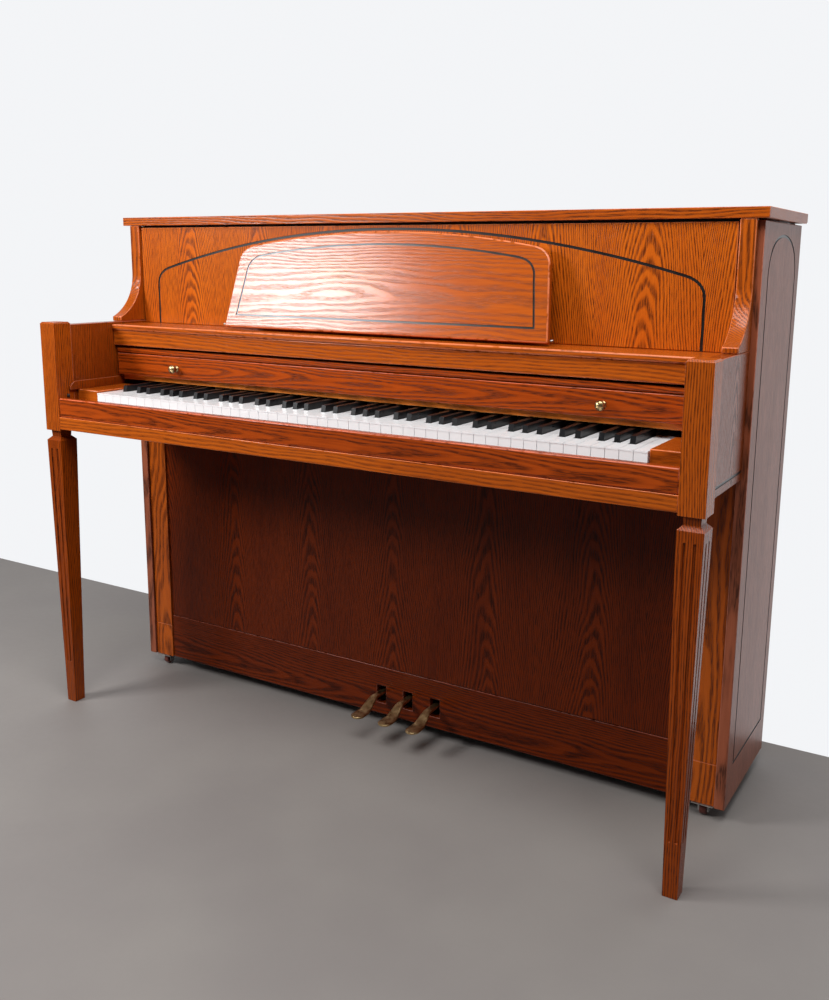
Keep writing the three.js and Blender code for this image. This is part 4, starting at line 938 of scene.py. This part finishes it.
# %% [markdown]
# ## Hammers, dampers, strings and tuning pins
#
# With the lid up, the tops of the hammers show in front of the strings, and above them the
# tuning pins. A hammer is a pear of felt stretched over a wooden core on a thin shank, and the
# damper under it is a felt pad on a block. The bass strings are wound and thick, and the treble
# ones get thinner and shorter.

# %% Hammers
def bar(shape, corners, wide, index=0, radius=0.0):
    """Adds a side view of (y, z) corners as a bar this wide, centred on x = 0."""
    near = [shape.verts.new((-wide / 2, y, z)) for y, z in corners]
    far = [shape.verts.new((wide / 2, y, z)) for y, z in corners]
    made = [shape.faces.new(near), shape.faces.new(far[::-1])]
    for j in range(len(corners)):
        k = (j + 1) % len(corners)
        made.append(shape.faces.new((near[k], near[j], far[j], far[k])))
    bmesh.ops.recalc_face_normals(shape, faces=made)
    return shape


low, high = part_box("hammers")
HAMMERS, NOTE = 88, (high.x - low.x) / 88
first = Vector((low.x + NOTE / 2, 0, 0))
step = Vector((NOTE, 0, 0))
face, crown = high.y, high.z - 8 * MM
felt = [(face, crown), (face - 4 * MM, crown + 5 * MM), (face - 13 * MM, crown + 8 * MM),
        (face - 26 * MM, crown + 5.5 * MM), (face - 27 * MM, crown - 5.5 * MM),
        (face - 13 * MM, crown - 8 * MM), (face - 4 * MM, crown - 5 * MM)]
row_of("hammer_felts", bar(bmesh.new(), felt, 8 * MM), HAMMERS, first, step, felt_white,
       "hammers", ["hammers"])
core_rear = face - 40 * MM
core = [(face - 27.2 * MM, crown + 5 * MM), (core_rear, crown + 4 * MM),
        (core_rear, crown - 4 * MM), (face - 27.2 * MM, crown - 5 * MM)]
row_of("hammer_cores", bar(bmesh.new(), core, 7.6 * MM), HAMMERS, first, step, beech_across,
       "hammers")
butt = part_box("hammers")[0].z
shank = bmesh.new()
rod(shank, Vector((0, low.y + 12 * MM, butt + 8 * MM)),
    Vector((0, face - 32 * MM, crown - 6.5 * MM)), 2.6 * MM, 8)
row_of("hammer_shanks", shank, HAMMERS, first, step, beech_up, "hammers")

# %% Dampers
low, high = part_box("dampers")
count = int((high.x - low.x) / NOTE)
first = Vector((low.x + NOTE / 2, 0, 0))
pad = [(high.y, high.z - 1 * MM), (high.y, high.z - 25 * MM), (high.y - 4.5 * MM, high.z - 25 * MM),
       (high.y - 4.5 * MM, high.z - 1 * MM)]
row_of("damper_felts", bar(bmesh.new(), pad, 10 * MM), count, first, step, felt_white,
       "dampers", ["dampers"])
block = [(high.y - 4.7 * MM, high.z), (high.y - 4.7 * MM, high.z - 26 * MM),
         (high.y - 9 * MM, high.z - 22 * MM), (high.y - 9 * MM, high.z - 4 * MM)]
row_of("damper_blocks", bar(bmesh.new(), block, 10 * MM), count, first, step, beech_up, "dampers")
wire = bmesh.new()
bar(wire, [(high.y - 9.1 * MM, high.z - 13 * MM), (high.y - 9.1 * MM, high.z - 11 * MM),
           (low.y + 3 * MM, high.z - 11 * MM), (low.y + 1 * MM, high.z - 13 * MM),
           (low.y + 1 * MM, low.z), (low.y + 3 * MM, low.z), (low.y + 3 * MM, high.z - 13 * MM)],
    1.6 * MM)
row_of("damper_wires", wire, count, first, step, steel, "dampers")

# %% Strings and tuning pins
low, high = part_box("strings")
middle_y = (low.y + high.y) / 2


def string(radius):
    """A string of unit height that hangs from z = 0."""
    shape = bmesh.new()
    turned(shape, [(0, -1), (radius, -1), (radius, 0), (0, 0)], Matrix.Identity(4), 6)
    bmesh.ops.recalc_face_normals(shape, faces=shape.faces)
    return shape


def scaled(shape, length):
    bmesh.ops.scale(shape, vec=(1, 1, length), verts=shape.verts)
    return shape


full = high.z - low.z
BREAK = -0.235
bass_count, treble_count = 40, 180
row_of("bass_strings", scaled(string(0.7 * MM), full), bass_count,
       Vector((low.x + 4 * MM, middle_y, high.z)), Vector(((BREAK - low.x) / bass_count, 0, 0)),
       brass, "case", ["strings"], last=0.97)
row_of("treble_strings", scaled(string(0.45 * MM), full * 0.96), treble_count,
       Vector((BREAK + 8 * MM, middle_y, high.z)),
       Vector(((high.x - BREAK - 12 * MM) / treble_count, 0, 0)), steel, "case", last=0.24)
pin = bmesh.new()
turned(pin, [(0, 0), (3.3 * MM, 0), (3.3 * MM, 26 * MM), (2.6 * MM, 28 * MM), (0, 28 * MM)],
       Matrix.Rotation(math.pi / 2, 4, "X"), 10)
plate_low, plate_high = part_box("iron_plate")
for i, drop in enumerate((0.016, 0.034, 0.052)):
    copy = pin.copy()
    start = Vector((low.x + 8 * MM + i * 4.2 * MM, plate_low.y + 0.5 * MM, plate_high.z - drop))
    row_of(f"tuning_pins_{i + 1}", copy, 86, start, Vector((14 * MM, 0, 0)), steel, "case")
pin.free()

# %% [markdown]
# ## Small fittings
#
# Little things tell the eye how big the rest is: steel pins at the lower corners of the desk,
# rubber buttons that the fallboard lands on, felt dots that keep the lid off the sides, and the
# screws of the hinge.

# %% Buttons, pins and glides
def button(shape, place, radius, height, sides=16):
    """A low round-edged disc that rises along the place's own Z."""
    edge = min(radius, height) * 0.35
    profile = [(0, 0), (radius, 0), (radius, height - edge), (radius - edge * 0.3, height - edge * 0.3),
               (radius - edge, height), (0, height)]
    turned(shape, profile, place, sides)


shape = bmesh.new()
for sign in (-1, 1):
    corner = tip @ Vector((sign * 0.3745, 0, 0))
    way = Matrix.Rotation(sign * math.pi / 2, 4, "Y")
    button(shape, Matrix.Translation(corner) @ way, 2.5 * MM, 6 * MM, 12)
put("desk_pins", shape, "case", [steel])

shape = bmesh.new()
for sign in (-1, 1):
    low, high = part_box("fallboard_rest_" + ("right" if sign > 0 else "left"))
    nose = Vector(((low.x + high.x) / 2, low.y - 3.5 * MM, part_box("key_slip")[1].z + 0.2 * MM))
    button(shape, Matrix.Translation(nose), 3.2 * MM, 7 * MM)
put("slip_bumpers", shape, "case", [rubber_and_shade_dark])

shape = bmesh.new()
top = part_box("side_panel_left")[1].z
for x in (-0.705, 0.705):
    for y in (0.02, 0.235):
        button(shape, Matrix.Translation(Vector((x, y, top))), 5 * MM, 2.6 * MM)
put("lid_bumpers", shape, "case", [felt_red])

# A black strip under the lid closes the gap over the upper panel: a dark sheet that paints the shade of
# that gap.
shape = bmesh.new()
low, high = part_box("upper_panel")
lid_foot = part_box("lid")[0].z
edge = [(low.x, high.y - 7 * MM), (high.x, high.y - 7 * MM),
        (high.x, high.y - 1 * MM), (low.x, high.y - 1 * MM)]
slab(shape, edge, high.z, lid_foot - 0.2 * MM, 0, 0.4 * MM)
put("lid_dust_strip", shape, body_holding["upper_panel"], [rubber_and_shade_dark])

shape = bmesh.new()
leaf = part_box("lid_hinge_lid_leaf")
facing_down = Matrix.Rotation(math.pi, 4, "X")
screws = 24
for i in range(screws):
    x = leaf[0].x + (i + 0.5) * (leaf[1].x - leaf[0].x) / screws
    y = leaf[0].y + (6 * MM if i % 2 else 12 * MM)
    place = Matrix.Translation(Vector((x, y, leaf[1].z - 1.1 * MM))) @ facing_down
    button(shape, place, 2.4 * MM, 0.5 * MM, 10)
put("lid_hinge_screws", shape, "lid", [brass])
print("fittings made")

# %% [markdown]
# ## Solids that stay as they are
#
# The frame's own solids are right for what hides inside or behind: the back posts, the
# soundboard, the iron plate and the rails. They only need their finish.

# %% Finishes for the solids that stay
kept = {
    "lid_hinge_case_leaf": brass,
    "lid_hinge_lid_leaf": brass,
    "fallboard_guide_rod": steel,
    "bottom_board": black_paint,
    "soundboard": spruce,
    "iron_plate": iron_gold,
    "action_frame": steel,
    "key_frame": beech_across,
}
for node, finish in kept.items():
    nodes[node].data.materials.clear()
    nodes[node].data.materials.append(finish)
put("back_frame_planed", softened("back_frame", 2 * MM), "case", [beech_up], ["back_frame"])
print(len(kept), "solids keep their shape")

# %% [markdown]
# ## The room
#
# A plain pale floor that ends just behind the piano, and two soft lights: a small window at the
# front left, which lies across the music desk as its highlight, and a wide ceiling light that
# whitens the keys and leaves the space under the key bed dark. The air behind is bright, as a
# white wall would make it, and shows the lacquer of the sides. The air in front is dim. Seen
# directly, the air is pale on every side, so the backdrop stays plain all round.

# %% Floor, sky and lights
floor_finish = plain("floor", (0.235, 0.215, 0.20), (0.21, 0.19, 0.18), 0.62, 0.1, 2.5,
                     fine=60.0, depth=0.0002)
shape = bmesh.new()
slab(shape, [(-5, -6), (5, -6), (5, 0.36), (-5, 0.36)], -0.05, -0.0005)
mesh = bpy.data.meshes.new("floor")
shape.to_mesh(mesh)
shape.free()
mesh.materials.append(floor_finish)
floor = bpy.data.objects.new("floor", mesh)
bpy.context.scene.collection.objects.link(floor)

world = bpy.data.worlds.new("studio")
world.use_nodes = True
bpy.context.scene.world = world
sky = Recipe(world.node_tree)
direction = sky.node("ShaderNodeTexCoord", out="Generated")
split = sky.node("ShaderNodeSeparateXYZ", values={0: direction}, out="Y")
seen = sky.node("ShaderNodeLightPath", out="Is Camera Ray")
behind = (split.step(0.05, 0.5) + seen).math("MINIMUM", 1.0)
air = sky.node("ShaderNodeMix", {"data_type": "RGBA"}, {
    0: behind, 6: (0.03, 0.03, 0.033, 1), 7: (0.90, 0.91, 0.93, 1)}, out=2)
glow = sky.node("ShaderNodeBackground", values={"Color": air, "Strength": 1.0})
sky_end = world.node_tree.nodes.new("ShaderNodeOutputWorld")
world.node_tree.links.new(glow.socket, sky_end.inputs["Surface"])


def window(name, place, aim, wide, high, power, colour=(1, 1, 1)):
    lamp = bpy.data.lights.new(name, "AREA")
    lamp.shape, lamp.size, lamp.size_y = "RECTANGLE", wide, high
    lamp.energy, lamp.color = power, colour
    holder = bpy.data.objects.new(name, lamp)
    holder.location = place
    holder.rotation_euler = (Vector(aim) - Vector(place)).to_track_quat("-Z", "Y").to_euler()
    bpy.context.scene.collection.objects.link(holder)


window("window", (-1.45, -1.48, 1.62), (-0.2, -0.1, 0.95), 0.66, 0.54, 38)
window("ceiling", (0.65, -1.10, 2.8), (0.1, -0.1, 0.7), 2.0, 1.2, 70)

# %% [markdown]
# ## The camera
#
# The piano is seen from its right, a little above the keys, with the lens of a phone or a short
# portrait lens. The small shift keeps the picture centred without tilting the uprights.

# %% Camera
lens = bpy.data.cameras.new("camera")
lens.lens, lens.sensor_width, lens.sensor_fit = 36.47, 36.0, "AUTO"
lens.shift_x, lens.shift_y = -0.0159, -0.0402
camera = bpy.data.objects.new("camera", lens)
turn = Matrix.Rotation(math.radians(30.7), 4, "Z") @ Matrix.Rotation(math.radians(90 - 11.2), 4, "X")
camera.matrix_world = (
    Matrix.Translation((1.1057, -1.7151, 0.9958)) @ turn @ Matrix.Rotation(math.radians(0.5), 4, "Z")
)
bpy.context.scene.collection.objects.link(camera)
bpy.context.scene.camera = camera

# %% [markdown]
# ## Colour as it is mixed
#
# The filmic view transforms grey a strong orange as it gets brighter. The standard one shows the
# oak in the colours that it was mixed in.

# %% View transform
bpy.context.scene.view_settings.view_transform = "Standard"
print("view transform:", bpy.context.scene.view_settings.view_transform)
